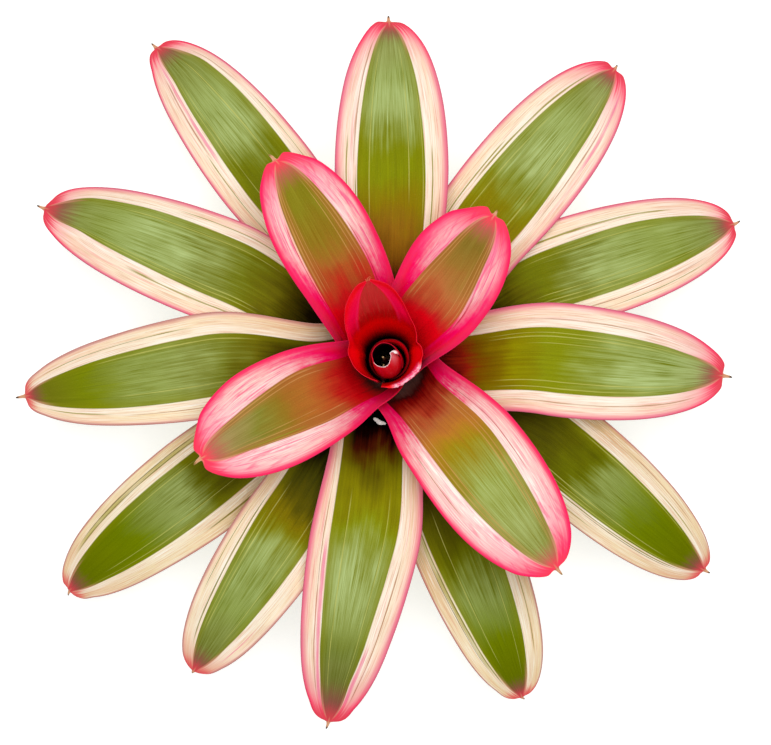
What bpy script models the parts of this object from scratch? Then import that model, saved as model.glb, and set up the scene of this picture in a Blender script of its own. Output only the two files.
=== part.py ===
"""A bromeliad rosette, cut from its roots and standing on the flat end of its short stem.

Each leaf is one curved sheet. Its sheath wraps the middle of the plant, its blade arches out and
its tip carries a small spine. The leaves nest in tiers, counted from the outermost one. Lengths
are millimetres until the meshes are made, azimuths are degrees counter-clockwise from +X seen
from above, and the middle of the rosette is the origin until the whole plant is centred.
"""

import math
from collections import namedtuple

import bpy
import numpy as np

MM = 0.001

# ---- Stem: (height, radius) up the core that carries every leaf --------------------------------
STEM_PROFILE = [(0.0, 13.0), (1.0, 14.0), (10.0, 14.0), (41.0, 8.6), (56.0, 4.6), (61.0, 2.6)]
STEM_SIDES = 36
FOOT_GAP = 1.25  # from the stem's surface to the middle of a leaf's thickness

# ---- Leaf sheet ---------------------------------------------------------------------------------
MIDRIB_THICKNESS = 1.1
MARGIN_THICKNESS = 0.6
BLUNTNESS = 2.15  # 2 would make the nose an ellipse
SPINE_LENGTH = 4.5
SPINE_WIDTH = 1.6
SPINE_TIP = 0.4
WIDEST_WRAP = math.radians(150)
ROWS = [0, 0.05, 0.11, 0.18, 0.26, 0.35, 0.45, 0.56, 0.67, 0.77, 0.86, 0.93, 0.975, 1.0]
COLUMNS = 8

# Height of a leaf's midrib over its plan radius: it climbs from its foot, bends over within the
# bend length and droops towards its tip.
Climb = namedtuple("Climb", "foot_z climb bend droop")
OUTERMOST = Climb(11.0, 41.0, 24.0, 24.0)
LAST_OUTER = Climb(40.0, 40.0, 20.0, 19.0)
FIRST_INNER = Climb(42.5, 68.0, 30.0, 6.0)
LAST_INNER = Climb(53.5, 68.0, 27.0, 2.0)
OUTER_TIERS = 12
INNER_TIERS = 4

# tip: azimuth of the blade's end. reach: its plan radius. miss: how far the blade's straight
# midrib would pass the middle, counter-clockwise positive. nose: length of the rounded end.
# cup: how far the edges rise above the midrib. skew: how far the spine sits beside the midrib.
Leaf = namedtuple("Leaf", "name tier tip reach miss width nose cup skew")
OUTER_LEAVES = [
    Leaf("outer_leaf_01", 11, 89.6, 150, -2, 48.5, 67, 3.0, 0.8),
    Leaf("outer_leaf_02", 5, 52.2, 164, 7, 46.5, 73, 3.0, 0.2),
    Leaf("outer_leaf_03", 3, 21.9, 166.5, 15, 47, 78, 3.0, -0.6),
    Leaf("outer_leaf_04", 10, 357.6, 148.5, 8, 48.5, 73, 3.0, 0),
    Leaf("outer_leaf_05", 4, 326.3, 168, 20, 44, 76, 3.0, 1.2),
    Leaf("outer_leaf_06", 2, 291.9, 161, 2, 45, 74, 3.0, -0.4),
    Leaf("outer_leaf_07", 9, 260.7, 160, 5, 47.5, 82, 3.0, -0.3),
    Leaf("outer_leaf_08", 6, 237.8, 161, 3, 42, 70, 3.0, 0),
    Leaf("outer_leaf_09", 1, 215.4, 175, -8, 46, 77, 3.0, 2.2),
    Leaf("outer_leaf_10", 8, 185.4, 161, -11, 45.5, 82, 3.0, 0),
    Leaf("outer_leaf_11", 7, 155.6, 166, -12, 45.5, 80, 3.0, 1.0),
    Leaf("outer_leaf_12", 0, 125.7, 175, -10, 44, 75, 3.0, 2.2),
]
INNER_LEAVES = [
    Leaf("inner_leaf_01", 13, 118.6, 97, -3, 39, 50, 5.0, 1.0),
    Leaf("inner_leaf_02", 15, 54.0, 75, -3, 40, 42, 5.0, 0),
    Leaf("inner_leaf_03", 14, 207.4, 88.5, -3, 44, 50, 5.0, 0),
    Leaf("inner_leaf_04", 12, 309.3, 112, 3, 47.5, 60, 5.0, 0),
]

# ---- Crown: the heart leaf, whose sheath closes into a funnel, and the rolled leaves in it -------
# Each ring is level: height, radius, how far its centre leans towards the heart leaf's azimuth,
# and the angles that the sheet wraps to its right and left of that azimuth.
Ring = namedtuple("Ring", "z radius lean right left")
HEART_AZIMUTH = 104.0
HEART_THICKNESS = 0.9
HEART_RINGS = [
    Ring(57.0, 6.0, 0, 160, 150),
    Ring(62, 7.9, 0.2, 175, 150),
    Ring(70, 9.8, 0.7, 190, 150),
    Ring(79, 11.6, 1.6, 200, 150),
    Ring(88, 13.4, 2.8, 202, 150),
    Ring(95, 15.0, 3.9, 202, 150),
    Ring(95.8, 15.1, 4.0, 172, 132),
    Ring(96.6, 15.2, 4.1, 142, 114),
    Ring(97.4, 15.4, 4.2, 114, 92),
    Ring(98.6, 15.6, 4.4, 88, 70),
    Ring(104, 16.2, 6.2, 60, 54),
    Ring(110, 17.5, 8.3, 48, 47),
    Ring(116, 19.0, 10.6, 38, 38),
    Ring(121, 21.0, 12.0, 22, 22),
    Ring(123.5, 22.5, 12.2, 10, 10),
    Ring(124.5, 23.0, 12.2, 2, 2),
]
HEART_COLUMNS = 20
LEFT_TUCK = 0.1  # how much closer the funnel's left edge lies at its rim, as a share of the radius

# Rolled leaves: height, radius and centre of each ring of the roll.
Roll = namedtuple("Roll", "z radius x y")
ROLL_THICKNESS = 0.8
ROLL_OUTER_RINGS = [
    Roll(59.5, 4.3, 0, 0),
    Roll(65, 6.3, 0, 0),
    Roll(73, 7.7, 0, 0),
    Roll(83, 8.3, 0.2, 0),
    Roll(92, 8.6, 0.4, 0.2),
    Roll(101, 8.6, 0.6, 0.6),
]
ROLL_OUTER_START = 262.0
ROLL_OUTER_TURN = 350.0
ROLL_RINGS = [
    Roll(61.5, 3.4, 0, 0),
    Roll(67, 4.6, 0, -0.2),
    Roll(75, 5.6, 0.2, -0.7),
    Roll(85, 6.1, 0.4, -1.0),
    Roll(94, 6.1, 0.2, -0.7),
    Roll(103, 5.7, -0.6, 0.8),
    Roll(112, 5.0, -1.5, 2.5),
]
ROLL_START = 20.0
ROLL_TURN = 400.0
ROLL_LAP = 1.6  # how far the roll's inner edge lies inside its outer turn
ROLL_COLUMNS = 26
YOUNGEST_RINGS = [
    Roll(61.6, 0.7, 0, 0),
    Roll(70, 1.6, 0, -0.4),
    Roll(86, 1.7, 0.3, -0.8),
    Roll(98, 1.1, -0.1, 0.1),
    Roll(106, 0.5, -0.9, 1.4),
]
YOUNGEST_SIDES = 12

# ---- Materials: colour, roughness ---------------------------------------------------------------
FINISHES = {
    "leaf_outer": ((0.13, 0.20, 0.03), 0.38),
    "leaf_inner": ((0.55, 0.08, 0.12), 0.35),
    "leaf_heart": ((0.45, 0.01, 0.02), 0.30),
    "stem": ((0.32, 0.24, 0.12), 0.70),
}


def smooth(low, high, value):
    """0 below low, 1 above high and an S-curve between them."""
    part = np.clip((np.asarray(value, float) - low) / (high - low), 0, 1)
    return part * part * (3 - 2 * part)


def through(knots, value):
    """A curve that is level at each (place, height) knot and eases from one to the next."""
    height = np.full(np.shape(value), float(knots[0][1]))
    for (low, start), (high, end) in zip(knots, knots[1:]):
        height = height + (end - start) * smooth(low, high, value)
    return height


def stem_radius(z):
    heights, radii = zip(*STEM_PROFILE)
    return float(np.interp(z, heights, radii))


def climb_of(tier):
    """The climb of one tier, between those of the first and last of its whorl."""
    if tier < OUTER_TIERS:
        first, last, part = OUTERMOST, LAST_OUTER, tier / (OUTER_TIERS - 1)
    else:
        first, last, part = FIRST_INNER, LAST_INNER, (tier - OUTER_TIERS) / (INNER_TIERS - 1)
    return Climb(*(a + (b - a) * part for a, b in zip(first, last)))


def midrib(leaf, along):
    """Plan position, plan direction and height of the midrib at the fractions of its length."""
    climb = climb_of(leaf.tier)
    foot_r = stem_radius(climb.foot_z) + FOOT_GAP
    run = np.linspace(0, leaf.reach - foot_r, 400)
    out = run / run[-1]
    height = climb.foot_z + climb.climb * (1 - np.exp(-run / climb.bend)) - climb.droop * out**3
    radius = foot_r + run
    share = radius / leaf.reach
    side = leaf.miss * (1 - share) * smooth(0.16, 0.48, share)
    azimuth = math.radians(leaf.tip)
    outward = np.array([math.cos(azimuth), math.sin(azimuth)])
    across = np.array([-outward[1], outward[0]])
    plan = radius[:, None] * outward + side[:, None] * across
    points = np.column_stack([plan, height])
    length = np.concatenate([[0], np.cumsum(np.linalg.norm(np.diff(points, axis=0), axis=1))])
    places = np.asarray(along) * length[-1]
    sampled = np.column_stack([np.interp(places, length, points[:, i]) for i in range(3)])
    slope = np.gradient(plan, axis=0)
    slope /= np.linalg.norm(slope, axis=1)[:, None]
    heading = np.column_stack([np.interp(places, length, slope[:, i]) for i in range(2)])
    heading /= np.linalg.norm(heading, axis=1)[:, None]
    return sampled, heading, length[-1]


def blade_width(leaf, along, length):
    """Full width, from a broad sheath and a narrower throat to a rounded nose, and its skew."""
    from_end = (1 - np.asarray(along)) * length
    sheath = through([(0, 0.72), (0.09, 1.0), (0.24, 0.86), (1 - leaf.nose / length, 1.0)], along)
    nose = (1 - np.clip(1 - from_end / leaf.nose, 0, 1) ** BLUNTNESS) ** (1 / BLUNTNESS)
    width = np.sqrt((leaf.width * sheath * nose) ** 2 + SPINE_WIDTH**2)
    return width, leaf.skew * (1 - nose) ** 2


def leaf_sheet(leaf, rows, columns):
    """The middle surface of a leaf and its thickness, as grids from foot to spine tip."""
    along = np.asarray(rows, float)
    middle, heading, length = midrib(leaf, along)
    width, skew = blade_width(leaf, along, length)
    across = np.linspace(-1, 1, columns + 1)
    radius = np.hypot(middle[:, 0], middle[:, 1])
    wrap = 1 - 0.9 * smooth(18, 62, radius)
    curl = wrap / radius
    lateral = np.clip(across * width[:, None] / 2 * curl[:, None], -WIDEST_WRAP, WIDEST_WRAP)
    sideways = np.sin(lateral) / curl[:, None]
    inward = (1 - np.cos(lateral)) / curl[:, None]
    normal = np.column_stack([-heading[:, 1], heading[:, 0]])
    middle[:, :2] += skew[:, None] * normal
    raise_edge = leaf.cup * np.clip(4 * along * (1 - along), 0, 1) ** 0.7
    sheet = np.empty((len(along), columns + 1, 3))
    for axis in range(2):
        sheet[:, :, axis] = (
            middle[:, None, axis]
            + normal[:, None, axis] * sideways
            - heading[:, None, axis] * inward
        )
    sheet[:, :, 2] = middle[:, None, 2] + raise_edge[:, None] * across**2
    thickness = MARGIN_THICKNESS + (MIDRIB_THICKNESS - MARGIN_THICKNESS) * (1 - across**2)
    thickness = np.repeat(thickness[None, :], len(along), axis=0)
    return with_spine(sheet, thickness, middle)


def with_spine(sheet, thickness, middle):
    """Adds the row at the point of the spine, which runs on along the end of the midrib."""
    onward = middle[-1] - middle[-2]
    onward /= np.linalg.norm(onward)
    side = sheet[-1, -1] - sheet[-1, 0]
    side /= np.linalg.norm(side)
    across = np.linspace(-0.5, 0.5, sheet.shape[1])
    point = middle[-1] + SPINE_LENGTH * onward + SPINE_TIP * across[:, None] * side
    sheet = np.concatenate([sheet, point[None]])
    return sheet, np.concatenate([thickness, thickness[-1:] * 0.5])


def sheet_normals(sheet):
    """Unit normals of a grid, on its upper side."""
    down = np.gradient(sheet, axis=0)
    over = np.gradient(sheet, axis=1)
    normals = np.cross(down, over)
    return normals / np.linalg.norm(normals, axis=2)[:, :, None]


def thicken(sheet, thickness):
    """Vertices and outward faces of the closed body around a grid."""
    rows, columns = sheet.shape[:2]
    offset = sheet_normals(sheet) * thickness[:, :, None] / 2
    vertices = np.concatenate([(sheet + offset).reshape(-1, 3), (sheet - offset).reshape(-1, 3)])
    under = rows * columns
    faces = []
    for i in range(rows - 1):
        for j in range(columns - 1):
            a, b = i * columns + j, i * columns + j + 1
            c, d = b + columns, a + columns
            faces.append((a, d, c, b))
            faces.append((under + a, under + b, under + c, under + d))
    rim = [(0, j) for j in range(columns)] + [(i, columns - 1) for i in range(1, rows)]
    rim += [(rows - 1, j) for j in range(columns - 2, -1, -1)] + [(i, 0) for i in range(rows - 2, 0, -1)]
    rim = [i * columns + j for i, j in rim]
    for a, b in zip(rim, rim[1:] + rim[:1]):
        faces.append((a, b, under + b, under + a))
    return vertices, faces


def heart_sheet():
    """The heart leaf: rings round the middle below, a blade leaning out above."""
    across = np.linspace(0, 1, HEART_COLUMNS + 1)
    axis = math.radians(HEART_AZIMUTH)
    foot_z = HEART_RINGS[0].z
    rim_z = max(ring.z for ring in HEART_RINGS if ring.left == HEART_RINGS[0].left)
    sheet = []
    for ring in HEART_RINGS:
        angle = np.radians(-ring.right + (ring.right + ring.left) * across)
        tuck = LEFT_TUCK * (ring.z - foot_z) / (rim_z - foot_z)
        radius = ring.radius * (1 - tuck * smooth(math.radians(95), math.radians(150), angle))
        sheet.append(
            np.column_stack([
                ring.lean * math.cos(axis) + radius * np.cos(axis + angle),
                ring.lean * math.sin(axis) + radius * np.sin(axis + angle),
                np.full_like(angle, ring.z),
            ])
        )
    sheet = np.array(sheet)
    return sheet, np.full(sheet.shape[:2], HEART_THICKNESS)


def roll_sheet(rings, start, turn, lap, columns):
    """A rolled leaf: rings that run clockwise, seen from above, from its inner to its outer edge."""
    travel = np.linspace(0, turn, columns + 1)
    angle = np.radians(start - travel)
    inside = lap * (1 - smooth(0, 150, travel))
    sheet = np.array([
        np.column_stack([
            ring.x + (ring.radius - inside) * np.cos(angle),
            ring.y + (ring.radius - inside) * np.sin(angle),
            np.full_like(angle, ring.z),
        ])
        for ring in rings
    ])
    # Columns run the other way round here than in a leaf, so they are turned to face inward.
    sheet = sheet[:, ::-1]
    return sheet, np.full(sheet.shape[:2], ROLL_THICKNESS)


def round_body(rings, sides):
    """Vertices and faces of a closed body of level rings: (height, radius, x, y)."""
    vertices = []
    faces = []
    for z, radius, x, y in rings:
        for k in range(sides):
            angle = 2 * math.pi * k / sides
            vertices.append((x + radius * math.cos(angle), y + radius * math.sin(angle), z))
    for i in range(len(rings) - 1):
        for k in range(sides):
            a, b = i * sides + k, i * sides + (k + 1) % sides
            faces.append((a, b, b + sides, a + sides))
    faces.append(tuple(range(sides - 1, -1, -1)))
    faces.append(tuple(range((len(rings) - 1) * sides, len(rings) * sides)))
    return np.array(vertices), faces


def bodies():
    """Every piece of the plant: its name, its material and its closed mesh."""
    stem_rings = [(z, radius, 0, 0) for z, radius in STEM_PROFILE]
    yield "stem", "stem", round_body(stem_rings, STEM_SIDES)
    for leaf in OUTER_LEAVES:
        yield leaf.name, "leaf_outer", thicken(*leaf_sheet(leaf, ROWS, COLUMNS))
    for leaf in INNER_LEAVES:
        yield leaf.name, "leaf_inner", thicken(*leaf_sheet(leaf, ROWS, COLUMNS))
    yield "heart_leaf", "leaf_heart", thicken(*heart_sheet())
    outer_roll = roll_sheet(ROLL_OUTER_RINGS, ROLL_OUTER_START, ROLL_OUTER_TURN, 0, ROLL_COLUMNS)
    yield "roll_outer_leaf", "leaf_heart", thicken(*outer_roll)
    inner_roll = roll_sheet(ROLL_RINGS, ROLL_START, ROLL_TURN, ROLL_LAP, ROLL_COLUMNS)
    yield "roll_leaf", "leaf_heart", thicken(*inner_roll)
    yield "youngest_leaf", "leaf_heart", round_body(YOUNGEST_RINGS, YOUNGEST_SIDES)


def make_material(name):
    colour, roughness = FINISHES[name]
    material = bpy.data.materials.new(name)
    material.use_nodes = True
    shader = material.node_tree.nodes["Principled BSDF"]
    shader.inputs["Base Color"].default_value = (*colour, 1)
    shader.inputs["Roughness"].default_value = roughness
    return material


def make_object(name, material, vertices, faces, parent):
    mesh = bpy.data.meshes.new(name)
    mesh.from_pydata([tuple(v) for v in np.asarray(vertices) * MM], [], faces)
    mesh.materials.append(material)
    obj = bpy.data.objects.new(name, mesh)
    obj.parent = parent
    bpy.context.scene.collection.objects.link(obj)
    return obj


def main():
    for obj in list(bpy.data.objects):
        bpy.data.objects.remove(obj)
    materials = {name: make_material(name) for name in FINISHES}
    pieces = list(bodies())
    low = np.min([vertices.min(axis=0) for _, _, (vertices, _) in pieces], axis=0)
    high = np.max([vertices.max(axis=0) for _, _, (vertices, _) in pieces], axis=0)
    rosette = bpy.data.objects.new("rosette", None)
    bpy.context.scene.collection.objects.link(rosette)
    rosette.location = (-(low[0] + high[0]) / 2 * MM, -(low[1] + high[1]) / 2 * MM, -low[2] * MM)
    for name, material, (vertices, faces) in pieces:
        make_object(name, materials[material], vertices, faces, rosette)


if __name__ == "__main__":
    main()
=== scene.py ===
"""The looks of a bromeliad rosette, cut at its stem and standing on a pale floor.

Every leaf is rebuilt from the design of its CAD solid as a fine mesh: a closed sheet with rounded
edges, a notched nose and a spine. Its colours are drawn by nodes from coordinates that the mesh
carries. Lengths are millimetres until a mesh is made, azimuths are degrees counter-clockwise from
+X seen from above, and the stem's axis is the middle of the rosette.
"""

import math
from collections import namedtuple

import bpy
import numpy as np
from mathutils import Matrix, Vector


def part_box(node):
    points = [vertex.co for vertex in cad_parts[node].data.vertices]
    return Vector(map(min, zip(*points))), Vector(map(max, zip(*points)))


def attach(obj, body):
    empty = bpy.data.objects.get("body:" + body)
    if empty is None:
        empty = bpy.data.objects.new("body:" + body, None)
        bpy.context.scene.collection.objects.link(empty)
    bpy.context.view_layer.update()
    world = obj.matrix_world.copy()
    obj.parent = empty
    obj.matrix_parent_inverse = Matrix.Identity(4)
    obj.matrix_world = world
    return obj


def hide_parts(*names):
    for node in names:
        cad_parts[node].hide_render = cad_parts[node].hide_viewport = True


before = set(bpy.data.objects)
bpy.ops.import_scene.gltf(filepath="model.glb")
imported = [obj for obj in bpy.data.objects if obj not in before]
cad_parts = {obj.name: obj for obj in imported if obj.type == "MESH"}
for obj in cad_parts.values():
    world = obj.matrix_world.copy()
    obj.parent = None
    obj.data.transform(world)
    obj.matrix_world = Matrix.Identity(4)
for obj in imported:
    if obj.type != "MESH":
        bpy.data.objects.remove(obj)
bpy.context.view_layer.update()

MM = 0.001
STEM_LOW, STEM_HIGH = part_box("stem")
AXIS = np.array([(STEM_LOW.x + STEM_HIGH.x) / 2, (STEM_LOW.y + STEM_HIGH.y) / 2, STEM_LOW.z])

# ---- Leaf design, as in the CAD ------------------------------------------------------------------

# Radius of the stem by height.
STEM_PROFILE = [(0.0, 13.0), (1.0, 14.0), (10.0, 14.0), (41.0, 8.6), (56.0, 4.6), (61.0, 2.6)]
FOOT_GAP = 1.25  # between the stem and a leaf's midrib
MIDRIB_THICKNESS = 1.1
MARGIN_THICKNESS = 0.6
BLUNTNESS = 2.15  # of a leaf's rounded end: 2 makes an ellipse
WIDEST_WRAP = math.radians(150)
UNROLLS = (18, 62)  # plan radii between which a leaf unrolls from round the stem
UNROLLING = 0.9  # how much of its curl a leaf loses there
STRAIGHTENS = (0.16, 0.48)  # shares of the reach between which a midrib finds its own line
MIDRIB_STEPS = 400
SHEATH_WIDTHS = [(0, 0.72), (0.09, 1.0), (0.24, 0.86)]  # shares of the width, along the leaf

# Height of a leaf's midrib over its plan radius: it climbs from its foot, bends over within the
# bend length and droops towards its tip.
Climb = namedtuple("Climb", "foot_z climb bend droop")
OUTERMOST = Climb(11.0, 41.0, 24.0, 24.0)
LAST_OUTER = Climb(40.0, 40.0, 20.0, 19.0)
FIRST_INNER = Climb(42.5, 68.0, 30.0, 6.0)
LAST_INNER = Climb(53.5, 68.0, 27.0, 2.0)
OUTER_TIERS = 12
INNER_TIERS = 4

# tip: azimuth of the blade's end. reach: its plan radius. miss: how far the blade's straight
# midrib would pass the middle, counter-clockwise positive. nose: length of the rounded end.
# cup: how far the edges rise above the midrib. skew: how far the spine sits beside the midrib.
Leaf = namedtuple("Leaf", "name tier tip reach miss width nose cup skew")
LEAVES = [
    Leaf("outer_leaf_01", 11, 89.6, 150, -2, 48.5, 67, 3.0, 0.8),
    Leaf("outer_leaf_02", 5, 52.2, 164, 7, 46.5, 73, 3.0, 0.2),
    Leaf("outer_leaf_03", 3, 21.9, 166.5, 15, 47, 78, 3.0, -0.6),
    Leaf("outer_leaf_04", 10, 357.6, 148.5, 8, 48.5, 73, 3.0, 0),
    Leaf("outer_leaf_05", 4, 326.3, 168, 20, 44, 76, 3.0, 1.2),
    Leaf("outer_leaf_06", 2, 291.9, 161, 2, 45, 74, 3.0, -0.4),
    Leaf("outer_leaf_07", 9, 260.7, 160, 5, 47.5, 82, 3.0, -0.3),
    Leaf("outer_leaf_08", 6, 237.8, 161, 3, 42, 70, 3.0, 0),
    Leaf("outer_leaf_09", 1, 215.4, 175, -8, 46, 77, 3.0, 2.2),
    Leaf("outer_leaf_10", 8, 185.4, 161, -11, 45.5, 82, 3.0, 0),
    Leaf("outer_leaf_11", 7, 155.6, 166, -12, 45.5, 80, 3.0, 1.0),
    Leaf("outer_leaf_12", 0, 125.7, 175, -10, 44, 75, 3.0, 2.2),
    Leaf("inner_leaf_01", 13, 118.6, 97, -3, 39, 50, 5.0, 1.0),
    Leaf("inner_leaf_02", 15, 54.0, 75, -3, 40, 42, 5.0, 0),
    Leaf("inner_leaf_03", 14, 207.4, 88.5, -3, 44, 50, 5.0, 0),
    Leaf("inner_leaf_04", 12, 309.3, 112, 3, 47.5, 60, 5.0, 0),
]

# ---- Fine shape of a leaf ------------------------------------------------------------------------

# A vein coordinate runs from -1 at the clockwise edge to 1 at the other, and the green band ends
# where it is BAND. The mesh's columns follow it, so that nothing steps across the band's edge.
BAND = 0.6
BAND_COLUMNS = 30
MARGIN_COLUMNS = 12
EDGE_COLUMN = 0.985  # the last column but one, which keeps the edge's rounding narrow
BLADE_ROWS = 78
NOSE_ROWS = 30
NOSE_PART = 16.0  # length of the blade's end that has closer rows
TIP_CUP = 1.3
RIB_HEIGHT = 0.07
RIPPLE_HEIGHT = 0.38
SWELL_HEIGHT = 0.45
BAND_BLUNTNESS, BAND_POINT = 2.3, 0.68  # powers that shape the band's end
NOSE_CROWDING = 2.1  # power that brings the nose's rows together
RIPPLE_LENGTHS, SWELL_LENGTHS, TWIST_LENGTHS = (17, 34), (55, 90), (90, 160)
EDGE_BULGE = 0.35  # how far an edge is rounded outward, as a share of the thickness there
LEAF_SEED = 100

# How each leaf differs from its plainer solid, in mm. trim: how much shorter the blade is. slide:
# how far its end sits to one side. spine: the spine's length. bend: where its point drifts.
# Sideways distances are counter-clockwise positive.
Nose = namedtuple("Nose", "trim slide spine bend ccw cw")
# push: how far a shoulder stands forward beside the notch. wide: extra half width along the nose.
# band, base: extra half width of the green band along the nose, and nearer to the foot. foot: extra
# half width of the leaf near its foot.
Side = namedtuple("Side", "push wide band base foot", defaults=[0])
NOSES = {
    "outer_leaf_01": Nose(2.3, 0, 3.2, 0.1, Side(1.6, -0.5, -0.6, 0.8), Side(0.9, 0, -0.5, 0.4)),
    "outer_leaf_02": Nose(0.1, 0, 2.6, 0.3, Side(1.5, 0.6, -0.2, 0), Side(1.3, 0.2, -1.2, 1.2)),
    "outer_leaf_03": Nose(1.2, 0, 4.0, 0.8, Side(0.5, 0, 0, -2.2), Side(1.2, 0.5, -0.3, 0)),
    "outer_leaf_04": Nose(2.6, 0, 5.0, -0.3, Side(1.9, -0.2, -1.0, -0.6), Side(1.3, 0.6, 0, 0)),
    "outer_leaf_05": Nose(0.4, 0, 3.5, 0.6, Side(0.7, 0, -0.3, 0), Side(0.6, -0.3, 0, 0.8)),
    "outer_leaf_06": Nose(0.2, 0, 1.6, 1.0, Side(0.3, 0, -0.4, 0), Side(0, -1.4, -0.8, 1.8)),
    "outer_leaf_07": Nose(
        0.6, 0, 4.0, -0.4, Side(0.1, -1.9, -3.0, 0), Side(0, -1.3, -1.1, 2.0, -2.0)
    ),
    "outer_leaf_08": Nose(0, 0, 1.5, 0, Side(-0.5, -1.2, -1.5, 0), Side(-0.3, -0.3, -0.3, 1.8)),
    "outer_leaf_09": Nose(
        -0.8, -1.3, 2.6, 1.2, Side(-1.0, -2.0, -1.3, -1.0), Side(0.3, -0.3, 0, 0)
    ),
    "outer_leaf_10": Nose(1.4, 0, 5.2, 0, Side(0.4, -1.1, 0, 0), Side(0.5, -1.2, -0.9, 0)),
    "outer_leaf_11": Nose(
        0.6, 0, 4.4, -0.2, Side(0.3, -0.8, -3.6, -0.8), Side(-1.0, -0.3, 2.4, 1.2)
    ),
    "outer_leaf_12": Nose(0, 0, 3.8, 0.3, Side(0.6, -1.4, -3.0, -0.8), Side(0.8, 0.1, 2.8, 1.6)),
    "inner_leaf_01": Nose(0.6, 0.4, 3.8, 1.0, Side(1.2, 1.6, 0.4, 1.6), Side(2.4, 2.4, -0.4, 0)),
    "inner_leaf_02": Nose(0, 0, 2.6, 0.2, Side(2.2, 3.0, -1.2, 1.5), Side(1.0, 1.0, -1.8, 0)),
    "inner_leaf_03": Nose(0.9, 0, 4.2, 0.9, Side(1.6, 0.9, -3.0, 0, -2.0), Side(2.0, 3.0, -1.8, 0)),
    "inner_leaf_04": Nose(
        0, -0.2, 3.8, 0.2, Side(0.4, 0.6, -1.5, 0), Side(1.4, 1.8, -0.8, -0.8, -3.6)
    ),
}

# Half width of the spine over its length from foot to point.
SPINE_PROFILE = [
    (-0.4, 1.5), (-0.15, 1.2), (0.05, 0.85), (0.3, 0.5), (0.6, 0.36), (0.85, 0.26), (1, 0.07),
]
SPINE_ROWS = 10
SPINE_THICKNESS = 0.7

# The heart leaf leans out along one direction. Rings: height, radius, how far the middle leans.
HEART_SEED = 7
HEART_AZIMUTH = math.radians(104)
HEART_FOOT = 57.0
HEART_WALL = 38  # height of its front
HEART_LEFT, HEART_RIGHT = 150, -202  # the wall's two edges, in degrees from its axis
HEART_COLUMNS, HEART_ROWS = 236, 52
RIM_REACH = 14  # columns to either side in which a point looks for the rim
HEART_RINGS = [
    (57, 6.0, 0.0), (62, 7.9, 0.2), (70, 9.8, 0.7), (79, 11.6, 1.6), (88, 13.4, 2.8),
    (95, 15.0, 3.9), (98.6, 15.6, 4.4), (104, 16.2, 6.2), (110, 17.5, 8.3), (116, 19.0, 10.6),
    (121, 21.0, 12.0), (124.6, 23.0, 12.2),
]
# By angle from its axis, from the right edge to the left one: the height of its rim, how far the
# rim flares out, how far the wall below it is drawn in, and the length that folds over outward.
HEART_RIM = [
    (-202, 95.0), (-172, 95.8), (-142, 96.6), (-114, 97.4), (-88, 98.6), (-60, 104), (-48, 110),
    (-38, 116), (-22, 121), (-10, 123.5), (-2, 124.4), (2, 124.4), (10, 123.5), (22, 121),
    (38, 116), (49, 110), (56, 104), (70, 98.6), (92, 97.4), (114, 96.6), (132, 95.8), (150, 95.0),
]
HEART_FLARE = [
    (-202, -0.4), (-180, -1.2), (-155, -1.6), (-125, -0.6), (-110, 0.3), (-96, -0.4), (-87, -2.0),
    (-78, -1.1), (-60, -0.3), (-50, -0.6), (-22, -0.8), (-8, -0.6), (6, -0.6), (24, 0.0), (42, 0.4),
    (54, 0.7), (64, -0.3), (72, 0.2), (84, 0.0), (110, -0.9), (150, -1.0),
]
HEART_WAIST = [
    (-202, 1.0), (-180, 1.6), (-150, 2.2), (-100, 3.0), (-80, 0.6), (-60, 0.0), (52, 0.0),
    (75, 2.4), (120, 1.4), (150, 0.4),
]
HEART_FOLD = [(-198, 0.0), (-184, 1.9), (-150, 2.5), (-128, 2.0), (-112, 0.0)]
FOLD_TURN = math.radians(118)
HEART_TUCK = 0.1  # share of the radius by which the left edge is tucked in
HEART_BODY = 0.9  # thickness of the wall
HEART_LIP = 0.3  # and of its rim
# Half angle of the blade's dark band by height.
HEART_BAND = [(95, 33), (104, 29), (110, 22), (116, 14.5), (120, 7.5), (122.5, 3.2), (124.2, 0.8)]

# The rolled leaves inside it, from the inner edge clockwise. Rings: height, radius, x and y. By
# angle travelled: the height of the rim, and how far it lies inside its ring. curl: the radius of
# the outward curl that the inner edge ends in.
Roll = namedtuple("Roll", "rings start turn rim lap curl")
ROLLS = {
    "roll_outer_leaf": Roll(
        [(59.5, 4.3, 0, 0), (65, 6.3, 0, 0), (73, 7.7, 0, 0), (83, 7.9, 0.2, 0),
         (92, 7.6, 0.4, 0.3), (97, 8.1, 0.5, 0.5), (101, 8.9, 0.6, 0.6)],
        262, 350,
        [(0, 93), (40, 96), (90, 99.5), (140, 101), (215, 101), (250, 99), (300, 95), (350, 91)],
        [(0, 0), (350, 0)],
        0.0,
    ),
    "roll_leaf": Roll(
        [(61.5, 3.4, 0, 0), (67, 4.6, 0, -0.2), (75, 5.6, 0.2, -0.7), (85, 6.1, 0.4, -1),
         (94, 6.1, 0.2, -0.7), (103, 5.8, -0.6, 0.8), (112, 5.35, -1.5, 2.5)],
        20, 400,
        [(-30, 110.6), (0, 111.8), (25, 112), (330, 112), (350, 108.5), (370, 101), (400, 94)],
        [(0, 2.9), (40, 2.6), (60, 2.4), (80, 1.5), (110, 0.65), (140, 0.15), (400, 0)],
        1.2,
    ),
}
ROLL_BODY = 0.8
ROLL_LIP = 0.26
ROLL_COLUMNS, ROLL_ROWS = 220, 44
CURL_TURN = 30  # degrees of travel that the curl takes up before the inner edge
CURL_BEND = 210  # and degrees that it turns through

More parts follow.
